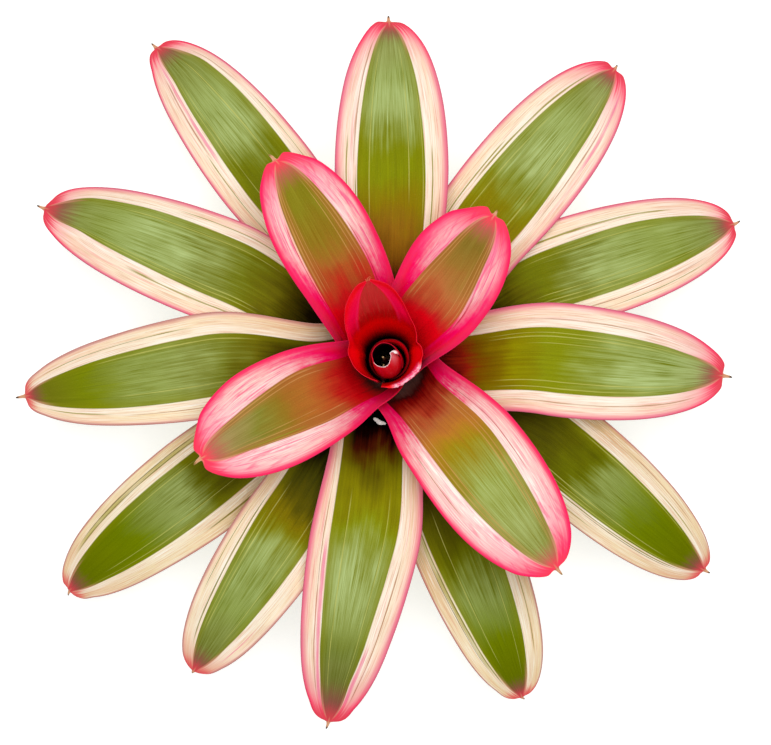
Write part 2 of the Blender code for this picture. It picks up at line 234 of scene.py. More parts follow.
# The youngest leaves in the middle: paths of points, and half widths along them.
SPEARS = [
    (
        [(0, 0, 61.6), (0, -0.4, 70), (0.2, -0.8, 86), (-1.2, 0.5, 98), (-2.2, 1.9, 106)],
        [0.7, 1.6, 1.7, 1.1, 0.3],
    ),
    (
        [(0, 0, 70), (-0.3, -1.2, 86), (-1.1, -1.7, 97), (-1.9, -1.5, 104.6)],
        [1.2, 1.2, 0.8, 0.28],
    ),
]
SPEAR_SIDES, SPEAR_RINGS = 16, 40
# Of each bristle: how many grid columns it stands off the tip's middle, how far it leans to one
# side, its length in mm.
BRISTLES = [(-1, -0.6, 1.6), (0, -0.2, 2.6), (0, 0.5, 3.0), (0, 1.2, 3.4), (1, 1.6, 2.2)]

STEM_RINGS, STEM_SIDES = 192, 96
SCAR_SPACING, SCAR_DEPTH = 3.1, 0.5
BARK_INSET = 0.18  # how far the bark's surface lies inside the CAD's stem
ROOT_STUBS = 22
STUB_FOOT = 13  # plan radius at which they start, inside the bark

WET_LEAF = "outer_leaf_07"
BEAD = [(-6.5, -24.6), (-3.6, -26.7), (-0.9, -27.1)]  # where the water lies on it, in plan
BEAD_HALF = 1.25
BEAD_HEIGHT, BEAD_DEPTH = 0.9, 0.25
BEAD_RINGS, BEAD_SIDES = 36, 24

# ---- Looks of the leaves -------------------------------------------------------------------------

# Colours of the band along the leaf, from foot to tip, as percent and sRGB codes.
# Their dark feet are partly the leaves' own colour and partly painted shade round the heart.
# The pale grey-brown at the very feet of the inner ones is a painted highlight, a wet sheen.
BANDS = {
    "fresh": "22 2A1A02, 30 7A4A10, 38 8F6614, 46 877404, 56 7D8405, 80 76800C, 93 746E18",
    "mid": (
        "18 6A0A0E, 22 96200F, 26 7A4C02, 30 765A02, 35 7A6602, 40 868002, 46 848A0A, 56 7E8608, "
        "80 76800C, 93 746E18"
    ),
    "shaded": (
        "19 000000, 21.5 140202, 24 401004, 27 503602, 30 5E5602, 35 706A02, 40 807C02, "
        "46 828A0A, 56 7E8608, 72 757E0A, 82 616A08, 93 5E540C"
    ),
    "dim": "28 1C1802, 38 484604, 45 5C5402, 50 7C6E02, 56 7E8008, 65 748008, 80 72800A, 93 646404",
    "green": (
        "22 1C1402, 31 4A4204, 37 68640A, 44 70760A, 54 72780A, 64 76800A, 80 778209, 93 6E7012"
    ),
    "old": "28 1C1802, 38 443F01, 50 585702, 60 6C7404, 75 6B7B00, 93 626C00",
    "inner": (
        "2 7A5048, 10 5A1A14, 22 F80412, 37 FF061C, 43 DC2222, 49 BC4C26, 56 AC682A, 66 8E7014, "
        "82 807608"
    ),
    "inner_warm": (
        "2 7A5048, 10 5A1A14, 22 F80412, 40 FF061C, 45 DC2426, 51 CA4E2E, 60 C0703A, 70 9E7028, "
        "84 806214"
    ),
    "inner_mid": (
        "2 8A6058, 10 5A2A22, 22 D80412, 29 D01C1C, 37 C44A26, 50 B46A2C, 62 927222, 74 7E7820, "
        "90 947240"
    ),
    "inner_long": (
        "2 96706A, 10 6A4038, 15 480C0C, 20 8A0A08, 27 B63C24, 34 BC6A38, 42 BC7C2C, 52 98840E, "
        "65 868C0F, 90 827F22"
    ),
}
# Colours of the margins along the leaf, darker towards the foot as painted shade.
MARGINS = {
    "cream": "30 C4865C, 40 E8C09A, 52 F6DABE, 65 F9E8CE, 80 F8E2CA, 92 F5CCB8",
    "beige": "40 B28A58, 52 C8A476, 64 EAD5AE, 74 ECD8B0, 85 E2C99C, 95 DFB890",
    "hot": (
        "10 8A0210, 20 F80424, 34 FF0448, 42 FF0664, 48 FC4478, 54 FA8090, 60 FBA6A8, 70 FACCC0, "
        "84 FAC8C0"
    ),
}

# Tones of the stripes: colour and strength.
TONES = {
    "pale": ("C9C66A", 0.55),
    "moss": ("A8A03C", 0.7),
    "tan": ("D8A060", 0.5),
    "olive": ("847C1C", 0.85),
    "dark": ("5C5408", 0.95),
    "brown": ("A8683C", 0.75),
    "rose": ("EC5C92", 0.65),
    "brick": ("C82838", 0.8),
    "peach": ("FCC89C", 0.7),
}

# Painted sheen, a pale highlight where the band lies level under the light: where it starts, where
# it is full, where it fades, its strength, and how much of it the rest of the blade keeps.
Bloom = namedtuple("Bloom", "start full fade strength kept")
# band and margin: colours by name. Of the ccw and the cw margin, ahead: how far its colours run
# ahead. yellow, pink: how yellow and how pink it is. edge: width of the pink edge in mm.
# flush: how far down from the tip the margins are pink, in mm. blush: the same for the band.
# stripes: the vein each lies on, half its width, where it starts and ends, and its tone.
Look = namedtuple("Look", "band bloom margin ahead yellow pink edge flush blush stripes")
STRIPE_UNITS = (100, 1000, 100, 100)  # of a stripe's four numbers, in one
LOOKS = {
    "outer_leaf_01": Look(
        "fresh", Bloom(0.6, 0.74, 0.78, 0.9, 0.6), "cream", (0.03, 0.03), (0.1, 0.3), (0.75, 0.35),
        2.6, 22, 9,
        [(67, 16, 55, 95, "brown"), (80, 12, 30, 68, "olive"), (63, 12, 30, 56, "olive"),
         (-73, 15, 30, 64, "olive"), (-86, 10, 30, 52, "brown"), (39, 9, 40, 93, "pale"),
         (-31, 9, 45, 93, "pale"), (-56, 7, 40, 80, "pale")],
    ),
    "outer_leaf_02": Look(
        "fresh", Bloom(0.5, 0.66, 0.74, 0.9, 0.6), "cream", (0, 0), (0.4, 0.1), (0.3, 0.5), 1.8,
        28, 11,
        [(66, 18, 50, 96, "olive"), (72, 14, 30, 66, "olive"), (-72, 11, 50, 86, "brown"),
         (-80, 28, 68, 97, "rose"), (-33, 9, 42, 94, "pale"), (42, 9, 40, 80, "pale"),
         (-50, 7, 60, 92, "pale")],
    ),
    "outer_leaf_03": Look(
        "green", Bloom(0.46, 0.61, 0.66, 0.8, 0.6), "cream", (0.06, 0.06), (0.3, 0.4), (0.25, 0.2),
        1.6, 16, 11,
        [(75, 18, 40, 84, "olive"), (-74, 11, 50, 90, "brown"), (-84, 9, 60, 90, "olive"),
         (-42, 10, 40, 90, "pale"), (-50, 7, 40, 70, "pale"), (-30, 7, 40, 75, "pale"),
         (46, 8, 40, 80, "pale")],
    ),
    "outer_leaf_04": Look(
        "mid", Bloom(0.5, 0.76, 0.84, 0.95, 0.7), "cream", (0.08, 0.08), (0.1, 0.1), (0.5, 0.65),
        2.2, 26, 12,
        [(-77, 11, 34, 92, "brown"), (74, 10, 40, 80, "brown"), (43, 12, 30, 80, "pale"),
         (50, 8, 30, 90, "pale"), (-40, 10, 30, 90, "pale"), (-52, 10, 30, 80, "pale"),
         (30, 6, 40, 70, "pale")],
    ),
    "outer_leaf_05": Look(
        "old", Bloom(0.56, 0.65, 0.67, 0.45, 0.0), "beige", (-0.05, 0), (0.3, 0.1), (0.1, 0.1),
        0.7, 8, 10,
        [(-64.5, 14, 50, 96, "dark"), (-69, 9, 62, 95, "dark"), (-82, 8, 50, 70, "olive"),
         (72, 12, 74, 93, "olive"), (86, 10, 60, 90, "brown"), (-42, 10, 40, 90, "pale"),
         (-50, 7, 40, 70, "pale"), (-56, 10, 50, 96, "pale"), (55, 12, 50, 90, "pale")],
    ),
    "outer_leaf_06": Look(
        "old", Bloom(0.55, 0.69, 0.7, 0.45, 0.0), "beige", (-0.1, -0.1), (0.4, 0.4), (0.1, 0.1),
        0.8, 7, 9,
        [(-68, 45, 42, 92, "moss"), (-65, 16, 42, 96, "dark"), (-61, 11, 50, 96, "pale"),
         (-73, 8, 50, 90, "dark"), (-33, 9, 40, 90, "pale"), (35, 7, 50, 95, "pale"),
         (80, 9, 60, 90, "olive")],
    ),
    "outer_leaf_07": Look(
        "shaded", Bloom(0.44, 0.59, 0.67, 0.9, 0.25), "cream", (0.05, 0.05), (0.3, 0.5),
        (0.5, 0.9), 2.6, 30, 17,
        [(-73, 11, 35, 95, "brown"), (-65.5, 34, 48, 97, "rose"), (76, 12, 50, 95, "brown"),
         (65.5, 34, 74, 97, "rose"), (-34, 10, 35, 95, "pale"), (37, 10, 35, 95, "pale")],
    ),
    "outer_leaf_08": Look(
        "dim", Bloom(0.52, 0.66, 0.72, 0.7, 0.5), "cream", (-0.06, -0.06), (0.4, 0.6),
        (0.14, 0.14), 1.2, 18, 11,
        [(-67, 16, 45, 95, "dark"), (-86, 9, 50, 80, "olive"), (-42, 10, 40, 90, "pale"),
         (-50, 9, 50, 90, "pale"), (35, 8, 40, 90, "pale"), (80, 14, 78, 95, "rose")],
    ),
    "outer_leaf_09": Look(
        "old", Bloom(0.53, 0.62, 0.65, 0.6, 0.0), "beige", (0.02, 0.02), (0.3, 0.5), (0.1, 0.1),
        0.7, 8, 11,
        [(-80, 35, 40, 93, "moss"), (-76.5, 12, 40, 93, "dark"), (-83.5, 9, 45, 90, "dark"),
         (80, 13, 40, 62, "dark"), (33, 8, 45, 90, "pale"), (-45, 8, 50, 80, "pale"),
         (50, 8, 60, 95, "pale")],
    ),
    "outer_leaf_10": Look(
        "green", Bloom(0.36, 0.56, 0.68, 0.5, 0.0), "cream", (0.1, 0.1), (0.7, 0.6), (0.1, 0.1),
        1.4, 7, 9,
        [(74, 16, 74, 95, "olive"), (78, 10, 40, 74, "brown"), (-78, 10, 50, 95, "olive"),
         (35, 8, 35, 75, "pale"), (-50, 12, 35, 80, "pale")],
    ),
    "outer_leaf_11": Look(
        "green", Bloom(0.4, 0.65, 0.73, 0.9, 0.5), "cream", (0.06, 0.06), (0.4, 0.3), (0.6, 0.4),
        1.6, 20, 15,
        [(74, 14, 40, 74, "olive"), (-78, 11, 30, 66, "olive"), (-72, 12, 66, 95, "tan"),
         (42, 11, 35, 90, "pale"), (50, 9, 35, 92, "pale"), (-48, 8, 35, 80, "pale")],
    ),
    "outer_leaf_12": Look(
        "green", Bloom(0.56, 0.7, 0.77, 0.85, 0.5), "cream", (0, 0), (0.3, 0.3), (0.4, 0.4), 1.4,
        18, 11,
        [(67, 30, 62, 97, "rose"), (74, 15, 66, 93, "brown"), (77, 9, 30, 70, "olive"),
         (-74, 13, 76, 96, "brown"), (-80, 8, 40, 75, "olive"), (-26, 11, 55, 95, "pale"),
         (36, 10, 40, 90, "pale"), (46, 12, 60, 93, "pale")],
    ),
    "inner_leaf_01": Look(
        "inner", Bloom(0.5, 0.7, 0.9, 0.05, 1.0), "hot", (-0.02, 0.02), (0, 0), (0.95, 0.7), 2.4,
        30, 12,
        [(48, 12, 44, 95, "tan"), (55, 20, 44, 95, "tan"), (40, 6, 44, 95, "tan"),
         (-33, 12, 44, 93, "tan"), (-45, 12, 44, 93, "tan"), (-54, 16, 50, 93, "tan"),
         (-64, 14, 35, 70, "brick"), (62, 12, 42, 90, "peach"), (64.5, 11, 35, 80, "brick")],
    ),
    "inner_leaf_02": Look(
        "inner_warm", Bloom(0.4, 0.7, 0.9, 0.08, 1.0), "hot", (-0.14, -0.02), (0, 0), (1.2, 1.5),
        2.8, 34, 12,
        [(44, 14, 44, 95, "tan"), (53, 16, 44, 95, "tan"), (-36, 12, 44, 95, "tan"),
         (-46, 11, 50, 95, "tan"), (-54, 12, 44, 95, "tan"), (-66, 16, 44, 68, "brick")],
    ),
    "inner_leaf_03": Look(
        "inner_mid", Bloom(0.6, 0.85, 0.95, 0.2, 1.0), "hot", (0.18, 0.06), (0, 0), (0.5, 0.6),
        2.6, 22, 12,
        [(-46, 12, 35, 92, "tan"), (-55, 16, 40, 95, "tan"), (27, 9, 45, 95, "tan"),
         (40, 11, 30, 93, "tan"), (50, 20, 55, 95, "olive"), (57, 12, 30, 95, "tan")],
    ),
    "inner_leaf_04": Look(
        "inner_long", Bloom(0.48, 0.72, 0.84, 0.7, 0.7), "hot", (0.19, 0.2), (0, 0), (0.25, 0.12),
        2.4, 36, 10,
        [(-44, 12, 22, 95, "tan"), (-53, 10, 22, 90, "tan"), (42, 12, 22, 95, "tan"),
         (50, 10, 30, 90, "tan"), (-80, 8, 35, 70, "brown"), (72, 11, 28, 70, "brick")],
    ),
}


# ---- Numbers -------------------------------------------------------------------------------------


def smooth(low, high, value):
    """0 below low, 1 above high and an S-curve between them."""
    part = np.clip((np.asarray(value, float) - low) / (high - low), 0, 1)
    return part * part * (3 - 2 * part)


def through(knots, value):
    """A curve that is level at each (place, height) knot and eases from one to the next."""
    height = np.full(np.shape(value), float(knots[0][1]))
    for (low, start), (high, end) in zip(knots, knots[1:]):
        height = height + (end - start) * smooth(low, high, value)
    return height


def through_line(knots, value):
    """Straight pieces between (place, height) knots."""
    return np.interp(value, *zip(*knots))


def unit(vectors):
    return vectors / np.linalg.norm(vectors, axis=-1, keepdims=True)


def full_turn(count):
    """Angles spread evenly round a circle."""
    return np.linspace(0, 2 * math.pi, count, endpoint=False)


def waves(rng, places, count, shortest, longest):
    """A seeded sum of sines of about unit height."""
    total = np.zeros_like(places)
    for _ in range(count):
        length = rng.uniform(shortest, longest)
        total += np.sin(2 * math.pi * (places / length + rng.uniform())) / count**0.5
    return total


# ---- Leaf meshes ---------------------------------------------------------------------------------


def climb_of(tier):
    """The climb of one tier, between those of the first and last of its whorl."""
    if tier < OUTER_TIERS:
        first, last, part = OUTERMOST, LAST_OUTER, tier / (OUTER_TIERS - 1)
    else:
        first, last, part = FIRST_INNER, LAST_INNER, (tier - OUTER_TIERS) / (INNER_TIERS - 1)
    return Climb(*(a + (b - a) * part for a, b in zip(first, last)))


class Midrib:
    """The line that a leaf's blade is built on: points, plan headings and tangents by length."""

    def __init__(self, leaf):
        climb = climb_of(leaf.tier)
        foot_r = float(through_line(STEM_PROFILE, climb.foot_z)) + FOOT_GAP
        run = np.linspace(0, leaf.reach - foot_r, MIDRIB_STEPS)
        out = run / run[-1]
        height = climb.foot_z + climb.climb * (1 - np.exp(-run / climb.bend)) - climb.droop * out**3
        radius = foot_r + run
        share = radius / leaf.reach
        side = leaf.miss * (1 - share) * smooth(*STRAIGHTENS, share)
        azimuth = math.radians(leaf.tip)
        outward = np.array([math.cos(azimuth), math.sin(azimuth)])
        across = np.array([-outward[1], outward[0]])
        plan = radius[:, None] * outward + side[:, None] * across
        self.points = np.column_stack([plan, height])
        steps = np.linalg.norm(np.diff(self.points, axis=0), axis=1)
        self.places = np.concatenate([[0], np.cumsum(steps)])
        self.length = self.places[-1]
        self.headings = unit(np.gradient(plan, axis=0))
        self.tangents = unit(np.gradient(self.points, axis=0))

    def at(self, places, table):
        return np.column_stack([np.interp(places, self.places, column) for column in table.T])


def vein_columns():
    band = np.linspace(-BAND, BAND, BAND_COLUMNS + 1)
    margin = np.linspace(BAND, 1, MARGIN_COLUMNS + 1)[1:]
    margin = np.concatenate([margin[:-1], [EDGE_COLUMN, 1.0]])
    return np.concatenate([-margin[::-1], band, margin])


def row_places(end, spine):
    """Lengths along the midrib, closer together towards the blade's end, and then up the spine."""
    blade = np.linspace(0, end - NOSE_PART, BLADE_ROWS, endpoint=False)
    nose = end - NOSE_PART * (1 - np.linspace(0, 1, NOSE_ROWS)) ** NOSE_CROWDING
    point = end + np.linspace(0, spine, SPINE_ROWS + 1)[1:]
    return np.concatenate([blade, nose, point])


Sheet = namedtuple("Sheet", "points thickness leaf skin")


def leaf_sheet(leaf, rng):
    """The middle surface of a leaf, its thickness and the coordinates that its colours need."""
    midrib = Midrib(leaf)
    nose = NOSES[leaf.name]
    end = midrib.length - nose.trim
    places = row_places(end, nose.spine)
    past_end = places - end
    from_end = np.clip(-past_end, 0, None)
    on_blade = np.minimum(places, end)
    along = on_blade / midrib.length
    veins = vein_columns()
    to_ccw = veins > 0

    # Half widths of the blade and of its band, on either side of the midrib.
    sheath = through([*SHEATH_WIDTHS, (1 - leaf.nose / midrib.length, 1.0)], along)
    into_nose = np.clip(1 - from_end / leaf.nose, 0, 1)
    outline = (1 - into_nose**BLUNTNESS) ** (1 / BLUNTNESS)
    spine = through_line(SPINE_PROFILE, past_end / nose.spine)
    extra = smooth(0, 9, from_end) * (1 - smooth(0.45 * leaf.nose, 1.2 * leaf.nose, from_end))
    push, wide, band_near, band_far, foot = (
        np.where(to_ccw, ccw, cw) for ccw, cw in zip(nose.ccw, nose.cw)
    )
    by_foot = smooth(0.04, 0.1, along) * (1 - smooth(0.16, 0.4, along))
    blade = (leaf.width / 2 * sheath * outline)[:, None]
    half = np.hypot(blade + extra[:, None] * wide + by_foot[:, None] * foot, spine[:, None])
    pointed = (1 - into_nose**BAND_BLUNTNESS) ** BAND_POINT * (1 - 0.5 * np.exp(-from_end / 3))
    band = BAND * leaf.width / 2 * sheath * pointed
    far = smooth(0.5 * leaf.nose, 1.3 * leaf.nose, from_end)[:, None]
    shift = smooth(0, 22, from_end)[:, None] * (band_near * (1 - far) + band_far * far)
    band_half = np.minimum(np.hypot(band[:, None] + shift, 0.5 * spine[:, None]), 0.92 * half)
    over = np.clip((np.abs(veins) - BAND) / (1 - BAND), 0, 1)
    lateral = np.where(
        np.abs(veins) <= BAND,
        veins / BAND * band_half,
        np.sign(veins) * (band_half + over * (half - band_half)),
    )
    across = lateral / half

    # The midrib line, with the spine running on past the blade's end.
    middle = midrib.at(on_blade, midrib.points)
    heading = unit(midrib.at(on_blade, midrib.headings))
    tangent = unit(midrib.at(on_blade, midrib.tangents))
    normal = np.column_stack([-heading[:, 1], heading[:, 0]])
    up_spine = np.clip(past_end, 0, None)[:, None]
    drift = np.array([*(normal[-1] * nose.bend), rng.uniform(-0.2, 0.6)])
    middle += up_spine * tangent[-1] + (up_spine / nose.spine) ** 2 * drift
    middle[:, :2] += ((leaf.skew + nose.slide) * (1 - outline) ** 2)[:, None] * normal

    # Near its foot the leaf wraps round the stem, and its edges stand a little above its midrib.
    radius = np.hypot(middle[:, 0], middle[:, 1])
    curl = ((1 - UNROLLING * smooth(*UNROLLS, radius)) / radius)[:, None]
    angle = np.clip(lateral * curl, -WIDEST_WRAP, WIDEST_WRAP)
    sideways, inward = np.sin(angle) / curl, (1 - np.cos(angle)) / curl
    raise_edge = leaf.cup * np.clip(4 * along * (1 - along), 0, 1) ** 0.7
    points = np.empty((len(places), len(veins), 3))
    for axis in range(2):
        points[:, :, axis] = (
            middle[:, None, axis]
            + normal[:, None, axis] * sideways
            - heading[:, None, axis] * inward
        )
    points[:, :, 2] = middle[:, None, 2] + raise_edge[:, None] * across**2

    # The nose: shoulders that stand forward of a notch, and a slight cup around the spine's foot.
    offside = np.abs(lateral) / (leaf.width / 2)
    shoulder = smooth(0.05, 0.24, offside) * (1 - smooth(0.3, 0.75, offside))
    forward = push * shoulder * np.exp(-from_end / 6)[:, None]
    points += forward[:, :, None] * tangent[:, None, :]
    tip_cup = TIP_CUP * rng.uniform(0.6, 1.2) * np.exp(-from_end / 9)
    points[:, :, 2] += tip_cup[:, None] * smooth(0, 0.6, offside)

    # Unevenness of the free blade: ribs along the veins, rippled margins and a slow swell.
    free = (smooth(0.3, 0.5, radius / leaf.reach) * smooth(0, 12, from_end))[:, None]
    ribs = waves(rng, veins, 5, 0.16, 0.34) * (1 - smooth(0.8, 1, np.abs(veins)))
    ccw_ripple, cw_ripple = (waves(rng, places, 3, *RIPPLE_LENGTHS)[:, None] for _ in range(2))
    ripple = np.where(to_ccw, ccw_ripple, cw_ripple)
    swell = waves(rng, places, 2, *SWELL_LENGTHS)[:, None]
    twist = waves(rng, places, 2, *TWIST_LENGTHS)[:, None] * across
    points[:, :, 2] += free * (
        RIB_HEIGHT * ribs
        + RIPPLE_HEIGHT * ripple * smooth(0.45, 1, np.abs(veins))
        + SWELL_HEIGHT * (swell + 0.8 * twist)
    )

    thickness = MARGIN_THICKNESS + (MIDRIB_THICKNESS - MARGIN_THICKNESS) * (1 - across**2)
    thin = smooth(0.0, nose.spine, past_end)[:, None]
    thickness = thickness * (1 - thin) + 2 * spine[:, None] * SPINE_THICKNESS * thin
    grids = np.broadcast_arrays(veins, along[:, None], -past_end[:, None])
    leaf_place = np.stack(grids, axis=2)
    skin = np.stack([half - np.abs(lateral), np.zeros_like(lateral), lateral], axis=2)
    return Sheet(points, thickness, leaf_place, skin)


def sheet_normals(points):
    """Unit normals of a grid, on its upper side."""
    down = np.gradient(points, axis=0)
    over = np.gradient(points, axis=1)
    return unit(np.cross(down, over))


def ring_faces(rings, sides):
    """Quads between rings of points, which are numbered ring by ring."""
    ring, place = np.divmod(np.arange((rings - 1) * sides), sides)
    first, ahead = ring * sides, (place + 1) % sides
    second = first + sides
    return np.column_stack([first + place, first + ahead, second + ahead, second + place])


def closed_faces(rings, sides):
    """Faces of a body made of rings, with a polygon over each end."""
    last = (rings - 1) * sides
    ends = [list(range(sides))[::-1], list(range(last, last + sides))]
    return ring_faces(rings, sides).tolist() + ends


def closed_grid(sheet):
    """The closed body around a sheet, with rounded edges.

    Each row becomes one loop: the upper side, an edge, the underside and an edge. Returns the
    vertices, the faces and both sets of coordinates. The middle number of the skin's coordinates
    is 0 on the upper side, a half at an edge and 1 on the underside.
    """
    rows, columns = sheet.points.shape[:2]
    offset = sheet_normals(sheet.points) * sheet.thickness[:, :, None] / 2

    def edge(last, inner):
        outward = unit(sheet.points[:, last] - sheet.points[:, inner])
        return (sheet.points[:, last] + outward * sheet.thickness[:, [last]] * EDGE_BULGE)[:, None]

    under = (sheet.points - offset)[:, ::-1]
    loops = np.concatenate([sheet.points + offset, edge(-1, -2), under, edge(0, 1)], axis=1)
    size = loops.shape[1]
    order = np.arange(columns)
    order = np.concatenate([order, [columns - 1], order[::-1], [0]])
    leaf_place, skin = sheet.leaf[:, order], sheet.skin[:, order]
    skin[:, :, 1] = np.repeat([0, 0.5, 1, 0.5], [columns, 1, columns, 1])
    faces = ring_faces(rows, size)[:, [0, 3, 2, 1]].tolist()

    # Both ends are closed by faces from the upper side to the underside.
    for first, turn in ((0, 1), ((rows - 1) * size, -1)):
        across = [first + 2 * columns - j for j in range(columns)]
        for j in range(columns - 1):
            faces.append([first + j, first + j + 1, across[j + 1], across[j]][::turn])
        faces.append([first + columns - 1, first + columns, across[-1]][::turn])
        faces.append([first, across[0], first + 2 * columns + 1][::turn])
    return loops.reshape(-1, 3), faces, leaf_place.reshape(-1, 3), skin.reshape(-1, 3)


def linked(name, data):
    """A new object in the scene."""
    obj = bpy.data.objects.new(name, data)
    bpy.context.scene.collection.objects.link(obj)
    return obj


def make_piece(name, material, vertices, faces, leaf_place=None, skin=None):
    """A smooth mesh object in the frame, from vertices in mm around the stem's axis."""
    mesh = bpy.data.meshes.new(name)
    mesh.from_pydata((np.asarray(vertices) * MM + AXIS).tolist(), [], faces)
    for title, values in (("leaf", leaf_place), ("skin", skin)):
        if values is not None:
            attribute = mesh.attributes.new(title, "FLOAT_VECTOR", "POINT")
            attribute.data.foreach_set("vector", np.asarray(values, np.float32).ravel())
    mesh.materials.append(material)
    mesh.shade_smooth()
    return linked(name, mesh)


# ---- Heart of the rosette ------------------------------------------------------------------------


def wall_thickness(lip, body, from_rim):
    """Thickness of a rolled wall: thin at its rim, full a few mm below."""
    return lip + (body - lip) * smooth(0.0, 4.0, from_rim)


def heart_sheet(rng):
    """The heart leaf: a funnel below, a blade leaning out above, and a rim that folds outward."""
    degrees = np.linspace(HEART_LEFT, HEART_RIGHT, HEART_COLUMNS)[:, None]
    rim = through_line(HEART_RIM, degrees)
    ragged = waves(rng, degrees, 5, 5, 14)
    rim = rim + 0.12 * waves(rng, degrees, 4, 9, 30)
    share = 1 - (1 - np.linspace(0, 1, HEART_ROWS)[None, :]) ** 1.7
    height = HEART_FOOT + (rim - HEART_FOOT) * share
    below = rim - height
    levels, radii, leans = zip(*HEART_RINGS)
    radius, lean = np.interp(height, levels, radii), np.interp(height, levels, leans)
    turned = HEART_TUCK * smooth(95, HEART_LEFT, degrees) * (height - HEART_FOOT) / HEART_WALL
    near_rim = 1 - smooth(0, 6.5, below)
    back = 0.5 + 0.5 * np.cos(np.radians(degrees))
    radius = radius - 1.6 * back * smooth(66, 80, height) * (1 - smooth(85, 99, height))
    waist = through_line(HEART_WAIST, degrees) * smooth(68, 88, height) * (1 - near_rim)
    radius = radius * (1 - turned) - waist + through_line(HEART_FLARE, degrees) * near_rim**2
    radius = radius + 0.1 * waves(rng, degrees, 4, 20, 45) * smooth(90, 100, height)

    # The folded rim bends outward along an arc.
    fold = through_line(HEART_FOLD, degrees) * (1 + 0.04 * ragged) + 1e-6
    bend = FOLD_TURN * np.clip(1 - below / fold, 0, 1)
    curve = fold / FOLD_TURN
    folded = below < fold
    radius = np.where(folded, radius + curve * (1 - np.cos(bend)), radius)
    height = np.where(folded, rim - fold + curve * np.sin(bend), height)
    radius = radius + 0.1 * ragged * (1 - smooth(0, 1.2, below)) * smooth(0.5, 1.5, fold)

    angle = HEART_AZIMUTH + np.radians(degrees)
    points = np.stack([
        lean * math.cos(HEART_AZIMUTH) + radius * np.cos(angle),
        lean * math.sin(HEART_AZIMUTH) + radius * np.sin(angle),
        height,
    ], axis=2)
    # How far each point is from the nearest point of the rim.
    reach = np.full(points.shape[:2], np.inf)
    for shift in range(-RIM_REACH, RIM_REACH + 1):
        rolled = np.clip(np.arange(len(points)) + shift, 0, len(points) - 1)
        reach = np.minimum(reach, np.linalg.norm(points - points[rolled, -1:], axis=2))
    band = through_line(HEART_BAND, height)
    flat = np.zeros_like(height)
    leaf = np.stack([degrees / band, height, degrees / 100 + flat], axis=2)
    skin = np.stack([reach, flat, np.radians(degrees) * 16 + flat], axis=2)
    return Sheet(points, wall_thickness(HEART_LIP, HEART_BODY, reach), leaf, skin)


def roll_sheet(roll, rng):
    """A leaf rolled into a tube, from its inner edge clockwise."""
    curl_turn = CURL_TURN if roll.curl else 0
    travel = np.linspace(-curl_turn, roll.turn, ROLL_COLUMNS)[:, None]
    around = np.clip(travel, 0, None)
    rim = through_line(roll.rim, travel) + 0.08 * waves(rng, travel, 4, 12, 40)
    low = roll.rings[0][0]
    share = 1 - (1 - np.linspace(0, 1, ROLL_ROWS)[None, :]) ** 1.5
    height = low + (rim - low) * share
    levels, radii, across, up = zip(*roll.rings)
    top = levels[-1]
    inside = through_line(roll.lap, around)
    lower = inside[0, 0] * 0.2 * (1 - smooth(0, 150, around))
    inside = lower + (inside - lower) * smooth(top - 12, top, height)
    radius = np.interp(height, levels, radii) - inside
    radius = radius + 0.06 * waves(rng, travel, 4, 30, 80) * smooth(top - 15, top, height)
    angle = np.radians(roll.start - around)
    sideways = np.zeros_like(height)
    if roll.curl:
        bend = np.radians(np.clip(-travel / curl_turn, 0, 1) * CURL_BEND)
        tight = roll.curl * smooth(top - 9, top - 2.6, height)
        tight = tight * (1 - 0.7 * smooth(top - 2.6, top, height)) + 0.02
        sideways, radius = tight * np.sin(bend), radius + tight * (1 - np.cos(bend))
    points = np.stack([
        np.interp(height, levels, across) + radius * np.cos(angle) - sideways * np.sin(angle),
        np.interp(height, levels, up) + radius * np.sin(angle) + sideways * np.cos(angle),
        height,
    ], axis=2)
    below = rim - height
    flat = np.zeros_like(height)
    leaf = np.stack([travel / roll.turn + flat, height, travel / 100 + flat], axis=2)
    skin = np.stack([below, flat, np.radians(travel) * 5 + flat], axis=2)
    return Sheet(points, wall_thickness(ROLL_LIP, ROLL_BODY, below), leaf, skin)


def eased_line(corners, count, rounds):
    """Points spread along a line through corners, which repeated averaging rounds off."""
    knots, places = np.linspace(0, 1, len(corners)), np.linspace(0, 1, count)
    line = np.column_stack([np.interp(places, knots, column) for column in zip(*corners)])
    for _ in range(rounds):
        line[1:-1] = (line[:-2] + 2 * line[1:-1] + line[2:]) / 4
    return line


def tube(path, half_widths, sides, rings):
    """A tapered body along a path, closed at both ends. Returns vertices and faces."""
    line = eased_line(path, rings, 2)
    knots = np.linspace(0, 1, len(path))
    widths = np.interp(np.linspace(0, 1, rings), knots, half_widths)
    ahead = unit(np.gradient(line, axis=0))
    reference = np.array([0.2, 0.9, 0.1]) if abs(ahead[0, 2]) > 0.8 else np.array([0, 0, 1.0])
    side = unit(np.cross(ahead, reference))[:, None]
    other = np.cross(ahead, side[:, 0])[:, None]
    turn = full_turn(sides)[None, :, None]
    circle = side * np.cos(turn) + other * np.sin(turn)
    vertices = line[:, None] + circle * widths[:, None, None]
    return vertices.reshape(-1, 3), closed_faces(rings, sides)


def joined(bodies):
    """One set of vertices and faces from several."""
    vertices, faces, start = [], [], 0
    for points, polygons in bodies:
        vertices.append(points)
        faces += [[start + index for index in polygon] for polygon in polygons]
        start += len(points)
    return np.concatenate(vertices), faces


def spears():
    """The youngest leaves, with each vertex's share of its own length."""
    bodies = [tube(path, widths, SPEAR_SIDES, SPEAR_RINGS) for path, widths in SPEARS]
    vertices, faces = joined(bodies)
    share = np.tile(np.repeat(np.linspace(0, 1, SPEAR_RINGS), SPEAR_SIDES), len(SPEARS))
    return vertices, faces, np.column_stack([share, vertices[:, 2], np.zeros_like(share)])


